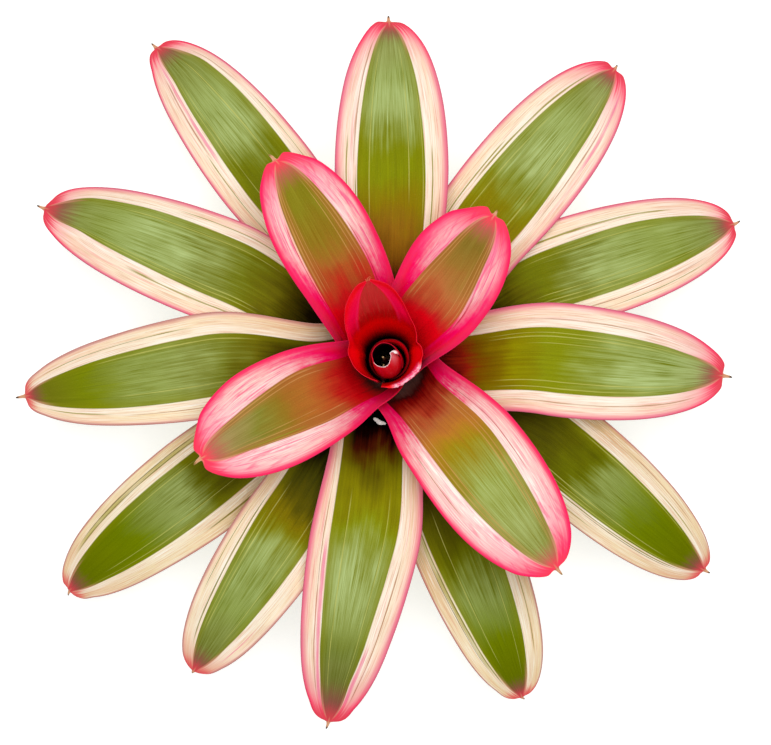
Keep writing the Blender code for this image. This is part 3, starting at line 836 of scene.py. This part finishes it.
def bristles(sheet, rng):
    """The few tiny spines at the tip of the heart leaf."""
    middle = int(len(sheet.points) * HEART_LEFT / (HEART_LEFT - HEART_RIGHT))
    bodies = []
    for offset, lean, length in BRISTLES:
        foot = sheet.points[middle + offset, -2]
        outward = unit(foot - sheet.points[middle + offset, -6])
        aside = np.cross(outward, [0, 0, 1.0])
        tip = foot + length * unit(outward + lean * aside + np.array([0, 0, rng.uniform(0, 0.5)]))
        knee = foot + 0.5 * length * unit(outward + 0.3 * lean * aside)
        bodies.append(tube([foot - 0.4 * outward, knee, tip], [0.3, 0.16, 0.07], 8, 12))
    return joined(bodies)


def stem_body(rng):
    """The cut stem: leaf scars round it, and short root stubs near its foot."""
    heights = np.concatenate([[0.0, 0.0], np.linspace(0.2, 61, STEM_RINGS - 2)])[:, None]
    turn = full_turn(STEM_SIDES)
    radius = through_line(STEM_PROFILE, heights) * np.ones_like(turn)
    tilt = 0.5 * np.sin(turn + 0.7)[None, :] + 0.25 * np.sin(3 * turn)[None, :]
    scar = np.abs(((heights + tilt) / SCAR_SPACING) % 1 - 0.5) * 2
    radius -= SCAR_DEPTH * (1 - smooth(0.0, 0.35, scar)) + BARK_INSET
    fibres = waves(rng, turn, 6, 0.12, 0.4)
    radius += 0.14 * fibres[None, :] * smooth(0.2, 0.6, scar)
    radius[0] *= 0.5
    rings = np.stack([
        radius * np.cos(turn), radius * np.sin(turn), heights * np.ones_like(turn)
    ], axis=2)
    rings[1, :, 2] += 0.12 * (1 + np.sin(9 * turn))
    rings[0, :, 2] += 0.1
    bodies = [(rings.reshape(-1, 3), closed_faces(STEM_RINGS, STEM_SIDES))]
    for _ in range(ROOT_STUBS):
        angle, z = rng.uniform(0, 2 * math.pi), rng.uniform(1.6, 9.0)
        outward = np.array([math.cos(angle), math.sin(angle), 0])
        length = rng.uniform(1.2, 3.2)
        foot = outward * STUB_FOOT + np.array([0, 0, z])
        end = foot + outward * (1 + length) + np.array([0, 0, -min(z - 0.8, 0.9 * length)])
        knee = (foot + end) / 2 + np.array([0, 0, 0.4])
        bodies.append(tube([foot, knee, end], [0.75, 0.6, 0.42], 10, 10))
    return joined(bodies)


def water_bead(sheet):
    """A bead of water on a leaf's upper side, following the leaf below it."""
    face = sheet.points + sheet_normals(sheet.points) * sheet.thickness[:, :, None] / 2
    line = eased_line(BEAD, BEAD_RINGS, 6)
    ahead = unit(np.gradient(line, axis=0))
    aside = np.column_stack([-ahead[:, 1], ahead[:, 0]])
    places = np.linspace(0, 1, BEAD_RINGS)
    width = BEAD_HALF * (1 - np.abs(2 * places - 1) ** 2.6) ** 0.5 * (1 - 0.25 * places) + 0.02
    turn = full_turn(BEAD_SIDES)
    rise = np.where(np.sin(turn) > 0, BEAD_HEIGHT, BEAD_DEPTH) * np.sin(turn) / BEAD_HALF
    rings = []
    for centre, normal, half in zip(line, aside, width):
        plan = centre + np.outer(np.cos(turn) * half, normal)
        gap = np.linalg.norm(face[:, :, None, :2] - plan, axis=3).reshape(-1, len(turn))
        level = face.reshape(-1, 3)[gap.argmin(axis=0), 2].mean()
        rings.append(np.column_stack([plan, level + rise * half]))
    return np.concatenate(rings), closed_faces(BEAD_RINGS, BEAD_SIDES)


# ---- Materials -----------------------------------------------------------------------------------


def rgb(text):
    """The linear colour of an sRGB hex code."""
    parts = [int(text[i : i + 2], 16) / 255 for i in (0, 2, 4)]
    return tuple(c / 12.92 if c <= 0.04045 else ((c + 0.055) / 1.055) ** 2.4 for c in parts)


def fill(tree, socket, value):
    """Puts a number or a colour's sRGB code into a node's input, or links an output to it."""
    if isinstance(value, Value):
        tree.links.new(value.socket, socket)
    elif isinstance(value, str):
        socket.default_value = (*rgb(value), 1)
    else:
        socket.default_value = value


def node(tree, kind, inputs, output=0, **settings):
    """One output of a new node. Inputs and outputs go by number or by name."""
    made = tree.nodes.new("ShaderNode" + kind)
    for title, value in settings.items():
        setattr(made, title, value)
    for key, value in inputs.items():
        fill(tree, made.inputs[key], value)
    return Value(tree, made.outputs[output])


class Value:
    """An output of a node. Working with it adds the nodes that work out the result."""

    def __init__(self, tree, socket):
        self.tree, self.socket = tree, socket

    def math(self, operation, *values):
        return node(self.tree, "Math", dict(enumerate(values)), operation=operation)

    def __add__(self, other):
        return self.math("ADD", self, other)

    def __mul__(self, other):
        return self.math("MULTIPLY", self, other)

    def __sub__(self, other):
        return self.math("SUBTRACT", self, other)

    def __rsub__(self, other):
        return self.math("SUBTRACT", other, self)

    def __truediv__(self, other):
        return self.math("DIVIDE", self, other)

    def __abs__(self):
        return self.math("ABSOLUTE", self)

    __radd__, __rmul__ = __add__, __mul__

    def parts(self):
        sockets = node(self.tree, "SeparateXYZ", {0: self}).socket.node.outputs
        return [Value(self.tree, socket) for socket in sockets]

    def limit(self):
        """The value, kept between 0 and 1."""
        return node(self.tree, "Clamp", {0: self})

    def rises(self, low, high):
        """0 where the value is under low, 1 over high, and an S-curve between them."""
        inputs = {0: self, 1: low, 2: high}
        return node(self.tree, "MapRange", inputs, interpolation_type="SMOOTHSTEP")

    def falls(self, low, high):
        return 1.0 - self.rises(low, high)

    def between(self, under, over):
        """A colour that is one at 0 and the other at 1."""
        return node(self.tree, "Mix", {0: self, 6: under, 7: over}, 2, data_type="RGBA")

    def over(self, tone, share):
        """The colour, with a share of a tone laid over it."""
        return share.between(self, tone)

    def shaded(self, shade):
        """The colour times a number."""
        inputs = {0: 1.0, 6: self, 7: shade}
        return node(self.tree, "Mix", inputs, 2, data_type="RGBA", blend_type="MULTIPLY")

    def ramp(self, stops):
        """The colour at a place along a ramp, whose stops are percent and sRGB codes."""
        result = node(self.tree, "ValToRGB", {0: self})
        stones = result.socket.node.color_ramp.elements
        stops = [stop.split() for stop in stops.split(",")]
        while len(stones) < len(stops):
            stones.new(0.5)
        for stone, (place, code) in zip(stones, stops):
            stone.position = float(place) / 100
            stone.color = (*rgb(code), 1)
        return result


class Paint:
    """A material whose nodes are being made."""

    def __init__(self, name):
        self.material = bpy.data.materials.new(name)
        self.material.use_nodes = True
        self.tree = self.material.node_tree

    def attribute(self, name):
        return node(self.tree, "Attribute", {}, "Vector", attribute_name=name).parts()

    def position(self):
        """Object coordinates, in metres from the frame's origin."""
        return node(self.tree, "TexCoord", {}, "Object").parts()

    def noise(self, x, y, z, detail=2.0, roughness=0.5):
        where = node(self.tree, "CombineXYZ", {0: x, 1: y, 2: z})
        inputs = {"Vector": where, "Scale": 1.0, "Detail": detail, "Roughness": roughness}
        return node(self.tree, "TexNoise", inputs, "Fac")

    def spots(self, x, y, z):
        """Distance from the nearest of a field of scattered points."""
        where = node(self.tree, "CombineXYZ", {0: x, 1: y, 2: z})
        return node(self.tree, "TexVoronoi", {"Vector": where, "Scale": 1.0}, "Distance")

    def bump(self, height, depth, **under):
        inputs = {"Strength": 1.0, "Distance": depth * MM, "Height": height, **under}
        return node(self.tree, "Bump", inputs)

    def done(self, **values):
        """Fills the shader's sockets, whose spaces are written _, and returns the material."""
        for title, value in values.items():
            shader = self.tree.nodes["Principled BSDF"]
            fill(self.tree, shader.inputs[title.replace("_", " ")], value)
        return self.material


HOT_PINK, HOT_EDGE, SOFT_PINK, VIVID_PINK = "F8305F", "FC1E5C", "F8909E", "F84878"
FLUSH_PINK, ROSE, PINK_WHITE, CREAM_WHITE = "F86C90", "F45088", "FEE2DC", "FEF8EC"
YELLOWISH, THREAD_TAN, FLECK_BROWN = "F4E2AE", "DCA080", "B87C50"
BLUSH, BLUSH_TIP, HOT_BLUSH, HOT_BLUSH_TIP = "94484A", "E24450", "C45A58", "FC4058"
TAN_EDGE, MAUVE_EDGE, BEIGE_RIM, EDGE_LINE = "C08078", "E66C88", "E8B49C", "A04458"
PEACH_TIP, SPINE_TAN, SPINE_END, PALE_SPINE_END = "E09C80", "D9A27C", "3A2414", "A07A44"
# The first is the pale green of the painted sheen, a highlight, and also of scurf specks.
SHEEN_AND_SCURF_GREEN, SCURF, SHEATH = "B2C480", "BCC096", "8E9050"
BROWN_SIDES, OLIVE_SIDES, STRIPE_CORE = "AC6A34", "86860A", "A89E3C"
FAINT = 0.15  # a margin with less pink than this has a tan edge

# Noise on a leaf: how fine it is across and along, its offset, detail and roughness. The first
# three follow the veins, from broad streaks to fine ones, and the others lie in the plan.
LEAF_NOISE = {
    "broad": (0.3, 0.012, 0, 2, 0.6),
    "streak": (0.9, 0.025, 7, 3, 0.6),
    "fine": (2.6, 0.05, 13, 3, 0.6),
    "cloud": (0.09, 0.05, 19, 2, 0.5),
    "grain": (2.2, 1.6, 23, 2, 0.5),
    "mottle": (0.4, 0.17, 37, 3, 0.6),
    "cross": (0.05, 0.42, 41, 2, 0.5),
    "blotch": (0.55, 0.07, 43, 3, 0.6),
}
FOLLOWS_VEINS = ("broad", "streak", "fine")
FLECKS = (0.8, 0.16, 31)


class LeafPaint(Paint):
    """A leaf's colours: a green band with fine stripes, pale margins and a pink edge.

    The attribute leaf holds the vein coordinate, the share of the leaf's length and the distance
    to the blade's end. The attribute skin holds the distance to the edge, 0 above or 1 below, and
    the distance to the midrib.
    """

    def __init__(self, leaf, seed):
        super().__init__(leaf.name)
        self.leaf, self.look, self.seed = leaf, LOOKS[leaf.name], seed
        self.vein, self.along, self.tip = self.attribute("leaf")
        self.edge, self.under, self.side = self.attribute("skin")
        self.inner = leaf.tier >= OUTER_TIERS
        self.faint = max(self.look.pink) < FAINT
        self.off_middle = abs(self.vein)
        self.veinwise = self.vein * (leaf.width / 2)
        # Noise centred on nought, but for the grain.
        self.broad, self.streak, self.fine, self.cloud = (
            self.pattern(name) - 0.5 for name in (*FOLLOWS_VEINS, "cloud")
        )
        self.grain = self.pattern("grain")
        self.flush_at = self.tip + self.streak * 18 + self.fine * 12
        self.in_band = (self.off_middle + self.fine * 0.02).falls(BAND - 0.01, BAND + 0.01)

    def pattern(self, name):
        across, along, offset, *style = LEAF_NOISE[name]
        sideways = self.veinwise if name in FOLLOWS_VEINS else self.side
        return self.noise(sideways * across, self.tip * along, self.seed + offset, *style)

    def band(self):
        """Colours along the leaf, pushed about by clouds and streaks, under a painted sheen."""
        along, off_middle, look = self.along, self.off_middle, self.look
        cloud, streak, fine, grain = self.cloud, self.streak, self.fine, self.grain
        by_cloud, by_streak = (0.2, 0.08) if self.inner else (0.16, 0.06)
        band = (along + cloud * by_cloud + streak * by_streak).ramp(BANDS[look.band])
        band = band.shaded(0.85 + streak * 0.45 + fine * 0.45 + grain * 0.3 + cloud * 0.3)

        bloom = look.bloom
        place = along + (cloud * 0.14 + streak * 0.12)
        fade = place.rises(bloom.fade - 0.02, bloom.fade + 0.13) * (1 - bloom.kept)
        mask = place.rises(bloom.start, bloom.full) * (1.0 - fade) * bloom.strength
        mask = mask * (0.62 + off_middle.falls(0.3, 0.62) * 0.5)
        texture = 0.56 + streak * 1.3 + fine * 1.7 + cloud * 0.9
        # A pale painted highlight over the band, a sheen where the blade lies level.
        band = band.over(SHEEN_AND_SCURF_GREEN, (mask * texture).limit())

        if self.inner:
            opened = (along + look.ahead[0]).rises(0.42, 0.6)
            strength = 0.2 if look.band == "inner_long" else 0.5
            band = band.over(BROWN_SIDES, off_middle.rises(0.3, 0.5) * opened * strength)
        else:
            opened = along.rises(0.34, 0.5)
            band = band.over(OLIVE_SIDES, off_middle.rises(0.36, 0.6) * 0.35)
        # Pale scurf specks, in the tone of the painted sheen.
        strength = 0.05 if look.margin == "beige" else 0.14
        return band.over(SHEEN_AND_SCURF_GREEN, grain.rises(0.64, 0.8) * opened * strength)

    def margin(self):
        """Their own colours along the leaf, yellow and pink streaks and brown flecks."""
        look, inner, off_middle = self.look, self.inner, self.off_middle
        broad, streak, fine = self.broad, self.streak, self.fine
        to_ccw = self.vein.rises(-0.1, 0.1)
        ahead, yellow, pink = (
            to_ccw * (ccw - cw) + cw for ccw, cw in (look.ahead, look.yellow, look.pink)
        )
        outermost = off_middle.rises(0.66, 1.0)
        place = self.along + ahead + (streak * 0.22 + broad * 0.1)
        if inner:
            mottle = self.pattern("mottle") - 0.5
            place = place - outermost * pink * 0.14 + mottle * 0.22
        margin = place.ramp(MARGINS[look.margin])
        margin = margin.over(YELLOWISH, (yellow * (0.8 + streak * 2.4)).limit())
        if inner:
            opened = place.rises(0.5, 0.62)
            margin = margin.over(ROSE, streak.rises(0.0, 0.1) * pink * opened * 0.6)
            margin = margin.over(VIVID_PINK, off_middle.rises(0.86, 1.0) * opened * 0.4)
        else:
            wash = broad.rises(-0.04, 0.2) * 0.5 + outermost * 0.15
            margin = margin.over(SOFT_PINK, pink * wash)
            margin = margin.over(SOFT_PINK, streak.rises(0.0, 0.16) * pink * 0.6)

        paler = fine.falls(-0.14, 0.0) * 0.5 + off_middle.falls(0.66, 0.84) * 0.35
        thread = fine.rises(0.02, 0.12) * 0.5
        if inner:
            paler = paler * place.rises(0.46, 0.66) * (1.4 - pink * 0.6)
            thread = thread * place.rises(0.46, 0.6) * (0.3 + pink).limit() * 1.6
        white = PINK_WHITE if inner and max(look.pink) > 0.3 else CREAM_WHITE
        margin = margin.over(white, paler.limit()).over(ROSE if inner else THREAD_TAN, thread)
        across, along, offset = FLECKS
        flecks = self.spots(self.veinwise * across, self.tip * along, self.seed + offset)
        return margin.over(FLECK_BROWN, flecks.falls(0.05, 0.09) * broad.rises(-0.1, 0.1) * 0.4)

    def flushed(self, margin):
        """Towards the tip the margins flush, and in young leaves they turn a deep pink."""
        flush, place = self.look.flush, self.flush_at
        if self.inner:
            blotch = self.pattern("blotch").rises(0.48, 0.66)
            margin = margin.over(VIVID_PINK, blotch * place.falls(14, 60) * 0.6)
            margin = margin.over(FLUSH_PINK, place.falls(0.3 * flush, 1.1 * flush) * 0.45)
            return margin.over(HOT_EDGE, place.falls(0.5, 0.5 * flush) * 0.95)
        if self.faint:
            return margin.over(PEACH_TIP, place.falls(1, flush) * 0.8)
        margin = margin.over(SOFT_PINK, place.falls(2, flush) * 0.75)
        return margin.over(HOT_PINK, place.falls(1, 0.5 * flush) * 0.95)

    def striped(self, colour):
        """Stripes that follow the veins."""
        vein = self.vein + self.streak * 0.01
        for *numbers, tone in self.look.stripes:
            middle, half, start, end = (a / unit for a, unit in zip(numbers, STRIPE_UNITS))
            code, strength = TONES[tone]
            away = abs(vein - middle) / ((1.0 + self.fine * 1.6) * half)
            mask = away.falls(0.5, 1.2) * self.along.rises(start, start + 0.08)
            mask = mask * self.along.falls(end - 0.06, end)
            mask = mask * (0.9 + self.cloud * 1.6).limit() * strength
            colour = colour.over(code, mask)
            if tone in ("olive", "dark") and half > 0.011:
                colour = colour.over(STRIPE_CORE, mask * away.falls(0.15, 0.6) * 0.8)
        return colour

    def edged(self, colour):
        """A pink edge with a soft rim beside it, and a thin line right at the edge."""
        width = self.look.edge
        rim = self.edge + self.broad * 1.6
        soft_tone, tone, line = SOFT_PINK, TAN_EDGE, 0.32
        if self.inner:
            soft_tone, tone, line = VIVID_PINK, HOT_EDGE, 0.15
        elif not self.faint:
            tone = self.tip.falls(6, 28).between(MAUVE_EDGE, HOT_PINK)
        if self.look.margin == "beige":
            soft_tone = BEIGE_RIM
        free = self.along.rises(0.1, 0.3)
        colour = colour.over(soft_tone, rim.falls(0.2, 1.8 * width) * free * (0.2 * width))
        strength = 0.75 if self.faint else 0.95
        colour = colour.over(tone, rim.falls(0.1, width) * free * strength)
        outline = self.edge.falls(0.08, 0.4) * self.along.rises(0.3, 0.45) * line
        return colour.over(EDGE_LINE, outline)

    def tipped(self, colour):
        """A blushing nose and its spine."""
        tip, off_middle, length = self.tip, self.off_middle, self.look.blush
        band_tone, tip_tone = (HOT_BLUSH, HOT_BLUSH_TIP) if self.inner else (BLUSH, BLUSH_TIP)
        place = tip + self.streak * 12
        blush = place.falls(0.3 * length, 1.25 * length) * self.in_band * 0.85
        colour = colour.over(band_tone, blush).over(tip_tone, place.falls(0.8, 0.6 * length) * 0.85)
        line = abs(off_middle - 0.56).falls(0.02, 0.09) * self.flush_at.falls(7, 18)
        colour = colour.over(PEACH_TIP, line * tip.rises(0.5, 3.0) * 0.5)
        colour = colour.over(SPINE_TAN, (tip + off_middle * 7.0).falls(-1.0, 3.4))
        colour = colour.over(SPINE_TAN, tip.falls(-1.0, 0.6))
        spine = NOSES[self.leaf.name].spine
        spine_end = PALE_SPINE_END if self.inner else SPINE_END
        return colour.over(spine_end, tip.falls(-0.9 * spine, -0.55 * spine))

    def backed(self, colour):
        """The underside: the pattern seen through pale scurf that lies in faint cross bands."""
        cross = self.pattern("cross").rises(0.35, 0.7)
        dust = 0.26 + cross * 0.2 + self.grain.rises(0.5, 0.75) * 0.16
        below = self.under.rises(0.7, 1.0)
        colour = colour.over(SHEATH, below * self.along.falls(0.16, 0.34) * 0.75)
        return colour.over(SCURF, below * dust)

    def finish(self):
        colour = self.in_band.between(self.flushed(self.margin()), self.band())
        colour = self.backed(self.tipped(self.edged(self.striped(colour))))
        gloss = 0.38 + self.fine * 0.2 + self.under * 0.25
        veins = self.bump(self.streak * 0.6 + self.fine * 0.4, 0.25)
        surface = self.bump(self.grain, 0.02, Normal=veins)
        return self.done(
            Base_Color=colour, Roughness=gloss, Normal=surface, Specular_IOR_Level=0.01
        )


def wall_noise(n, seed, along_wall, up=0.06):
    """Streaks that run up a rolled wall, centred on nought."""
    side = n.attribute("skin")[2]
    height = n.attribute("leaf")[1]
    return n.noise(side * along_wall, height * up, seed, 3, 0.6) - 0.5


# Up the heart leaf: black deep in its funnel as painted shade, and a full red higher up.
HEART_RED_AND_DEPTH_SHADE = (
    "0 060001, 12 1A0002, 19 700106, 28 D80206, 40 FC0306, 54 FA0308, 85 F8041A, 100 F8041C"
)
HEART_MARGIN = "36 FF0306, 46 FC020C, 56 FC0234, 70 FF064C, 88 FF0A40, 100 FC0820"
HEART_DARK = "50 D00408, 60 C80E14, 74 CE2A2C, 90 C8302E, 100 D42430"
HEART_OUTSIDE = "0 1A0606, 30 4A1210, 50 7E181A, 75 B81824"


def heart_material():
    n = Paint("heart_red")
    vein, height, turned = n.attribute("leaf")
    edge, under, side = n.attribute("skin")
    streak, fine = wall_noise(n, 3, 0.8), wall_noise(n, 9, 2.4)
    off_middle = abs(vein)
    up = height + streak * 5
    scaled = (up - 70.0) / 55.0
    band = scaled.ramp(HEART_DARK).over("CC5040", fine.rises(0.0, 0.2) * 0.5)
    band = band.over("943418", streak.rises(0.02, 0.2) * 0.3)
    in_band = (off_middle + streak * 0.1).falls(0.9, 1.12)
    blade = up.rises(93.0, 101.0)
    by_band = off_middle.rises(0.95, 1.15) * off_middle.falls(1.5, 2.4)
    # Its red turns black deep in the funnel, painted shade.
    colour = scaled.ramp(HEART_RED_AND_DEPTH_SHADE).over(scaled.ramp(HEART_MARGIN), by_band * blade)
    colour = colour.over(band, in_band * blade * 0.95)
    line = abs(off_middle - 1.16).falls(0.02, 0.14)
    colour = colour.over("FF2C64", line * blade * 0.4)

    # The lobes are a bright red, and the folded rim is white where it catches the light.
    colour = colour.over("F4020E", abs(turned).rises(0.56, 0.64) * edge.falls(3.5, 5.5))
    colour = colour.over("FA0806", turned.falls(-1.78, -1.72) * edge.falls(3.0, 4.0))
    folded = turned.rises(-1.88, -1.76) * turned.falls(-1.3, -1.18)
    fringe = (edge + fine * 1.5).falls(1.3, 2.7)
    colour = colour.over("F83C74", folded * fringe * 0.85)
    lengthwise = n.noise(side * 0.35, edge * 3.2, 4.0, 3, 0.65)
    pale = (edge + fine * 2.0).falls(0.6, 1.6) * lengthwise.rises(0.4, 0.58)
    colour = colour.over("FCE4EE", folded * pale * 0.72)
    colour = colour.over("E82848", edge.falls(0.1, 0.45) * (1.0 - folded) * 0.35)

    # The outside is a duller red under brown scurf, darker where light never reaches.
    dull = scaled.ramp(HEART_OUTSIDE).over("8C4A34", fine.rises(0.0, 0.2) * 0.4)
    colour = colour.over(dull, under * edge.rises(0.5, 1.6))
    return n.done(
        Base_Color=colour, Roughness=0.36 + fine * 0.2, Normal=n.bump(streak, 0.2),
        Specular_IOR_Level=0.08,
    )


# Of the outer and the inner rolled leaf: colours up the outside, up the lining and at the rim.
# Their near black low down is painted shade, as is the outer leaf's dark outside.
ROLL_TONES = {
    "roll_outer_leaf": (
        "0 040001, 40 0C0103, 66 2A0808", "20 0C0001, 36 A0040C, 60 FA0A20", "4A1014",
    ),
    "roll_leaf": (
        "0 100002, 30 300006, 50 A00210, 70 CC0214, 88 DC061C, 100 E4182E",
        "30 060001, 85 100103, 100 3A040C", "CC1630",
    ),
}


def roll_material(name):
    """A rolled leaf: red and lit near its rim and painted black below as shade, with a pale rim in
    front.
    """
    n = Paint(name + "_red")
    _, height, travel = n.attribute("leaf")
    edge, under, _ = n.attribute("skin")
    streak, fine = wall_noise(n, 5, 0.9), wall_noise(n, 15, 4.0, 0.4)
    scaled = (height + streak * 4 - 80.0) / 32.0
    outside, lining, rim = ROLL_TONES[name]
    colour = under.between(scaled.ramp(lining), scaled.ramp(outside))
    colour = colour.over(rim, edge.falls(0.15, 0.4) * 0.9)
    if name == "roll_leaf":
        ragged = edge + fine * 3.2
        colour = colour.over("F4808C", travel.falls(0.1, 0.8) * edge.falls(2.0, 9.5) * 0.9)
        colour = colour.over("F8D0D0", travel.falls(1.55, 1.75) * ragged.falls(0.05, 0.4))
        # Near white at the curled inner edge: a pale edge with a painted highlight on it.
        colour = colour.over("FFF2F0", travel.falls(-0.12, 0.06) * ragged.falls(0.6, 1.3))
    return n.done(
        Base_Color=colour, Roughness=0.32 + fine * 0.15, Normal=n.bump(streak, 0.12),
        Specular_IOR_Level=0.03,
    )


def spear_material():
    n = Paint("youngest_red")
    share, height, _ = n.attribute("leaf")
    fleck = n.noise(share * 45, height * 1.5, 3.0)
    # Near black for most of its length, painted shade deep inside the rolled leaves, with a tan
    # point.
    colour = share.ramp("0 080102, 60 140204, 86 4A0C0C, 97 A86848, 100 E8B884")
    colour = colour.over("6A1410", fleck.rises(0.5, 0.7) * 0.3)
    bump = n.bump(fleck, 0.1)
    return n.done(Base_Color=colour, Roughness=0.4, Normal=bump, Specular_IOR_Level=0.3)


def spine_material():
    n = Paint("spine_tan")
    grain = n.noise(*(part * 900 for part in n.position()), 3)
    return n.done(Base_Color=grain.between("D0482C", "F08A5C"), Roughness=0.5)


def stem_material():
    """Cork-brown bark with pale fibres, dark blotches and narrow rings."""
    n = Paint("stem_bark")
    x, y, z = n.position()
    fibres = n.noise(x.math("ARCTAN2", y, x) * 30, z * 90, 0.0, 4, 0.65)
    blotch = n.noise(x * 160, y * 160, z * 160, 3)
    rings = n.noise(0.0, 0.0, z * 700)
    colour = fibres.ramp("30 4A3220, 50 7A5A38, 62 A4845A, 80 CDB48A")
    colour = colour.over("5E4A30", blotch.rises(0.4, 0.7) * 0.6)
    colour = colour.over("8C7048", rings.rises(0.5, 0.8) * 0.4)
    gloss = 0.7 + blotch * 0.2
    return n.done(Base_Color=colour, Roughness=gloss, Normal=n.bump(fibres, 0.3))


def painted_glint_water():
    """Water, painted pale and giving off a little light so that it reads as a glint: a painted
    highlight.
    """
    n = Paint("water")
    grain = n.noise(*(part * 500 for part in n.position()))
    colour = grain.between("E4D8D4", "F8F4F2")
    return n.done(
        Base_Color=colour, Roughness=0.08 + grain * 0.1, Emission_Color=colour,
        Emission_Strength=0.14, Transmission_Weight=0.12, IOR=1.33,
    )


# ---- Stage ---------------------------------------------------------------------------------------

FLOOR_HALF = 3.0
FLOOR_GREY = (0.7, 0.7, 0.7, 1)
FLOOR_GLOW = 0.55
LIGHT_PLACE, LIGHT_SIZE, LIGHT_POWER = (0.05, 0.2, 1.5), 0.85, 16
LIGHT_TARGET = (0, 0, 0.05)
SKY_STRENGTH = 0.43
CAMERA_HEIGHT = 1.2
CAMERA_SIDE = (-0.0011, -0.0046)  # of the camera from the stem's axis
CAMERA_LENS = 122.0


def floor():
    """A white floor, which gives off a little light so that the plant's shadows stay faint."""
    mesh = bpy.data.meshes.new("floor")
    corners = [(x * FLOOR_HALF, y * FLOOR_HALF, 0) for x, y in ((-1, -1), (1, -1), (1, 1), (-1, 1))]
    mesh.from_pydata(corners, [], [(0, 1, 2, 3)])
    mesh.materials.append(Paint("floor_white").done(
        Base_Color=FLOOR_GREY, Roughness=0.9, Emission_Color="FFFFFF", Emission_Strength=FLOOR_GLOW
    ))
    linked("floor", mesh)


def softbox():
    light = bpy.data.lights.new("softbox", "AREA")
    light.shape = "SQUARE"
    light.size = LIGHT_SIZE
    light.energy = LIGHT_POWER
    lamp = linked("softbox", light)
    lamp.location = LIGHT_PLACE
    aim = Vector(LIGHT_TARGET) - Vector(LIGHT_PLACE)
    lamp.rotation_euler = aim.to_track_quat("-Z", "Y").to_euler()


def studio():
    scene = bpy.context.scene
    world = bpy.data.worlds.new("studio")
    world.use_nodes = True
    sky = world.node_tree.nodes["Background"].inputs
    sky["Color"].default_value = (1, 1, 1, 1)
    sky["Strength"].default_value = SKY_STRENGTH
    world.cycles_visibility.glossy = False
    scene.world = world
    softbox()
    camera = bpy.data.cameras.new("camera")
    camera.lens = CAMERA_LENS
    camera.clip_end = 20
    scene.camera = linked("camera", camera)
    scene.camera.location = (AXIS[0] + CAMERA_SIDE[0], AXIS[1] + CAMERA_SIDE[1], CAMERA_HEIGHT)
    scene.view_settings.view_transform = "Standard"


# ---- The whole plant -----------------------------------------------------------------------------


def place_piece(name, material, body, replaced=None):
    """Makes a piece that rides on the root, and hides the CAD node that it stands for."""
    piece = make_piece(name, material, *body)
    if replaced:
        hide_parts(replaced)
    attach(piece, "root")


def main():
    for index, leaf in enumerate(LEAVES):
        sheet = leaf_sheet(leaf, np.random.default_rng(LEAF_SEED + index))
        material = LeafPaint(leaf, 10.0 * index).finish()
        slot = "leaf_inner" if leaf.tier >= OUTER_TIERS else "leaf_outer"
        place_piece(leaf.name + "_skin", material, closed_grid(sheet), leaf.name)
        if leaf.name == WET_LEAF:
            place_piece("water_bead", painted_glint_water(), water_bead(sheet))

    rng = np.random.default_rng(HEART_SEED)
    heart = heart_sheet(rng)
    place_piece("heart_leaf_skin", heart_material(), closed_grid(heart), "heart_leaf")
    place_piece("heart_bristles", spine_material(), bristles(heart, rng))
    for name, roll in ROLLS.items():
        body = closed_grid(roll_sheet(roll, rng))
        place_piece(name + "_skin", roll_material(name), body, name)
    place_piece("youngest_leaf_skin", spear_material(), spears(), "youngest_leaf")
    place_piece("stem_skin", stem_material(), stem_body(rng), "stem")
    floor()
    studio()


main()
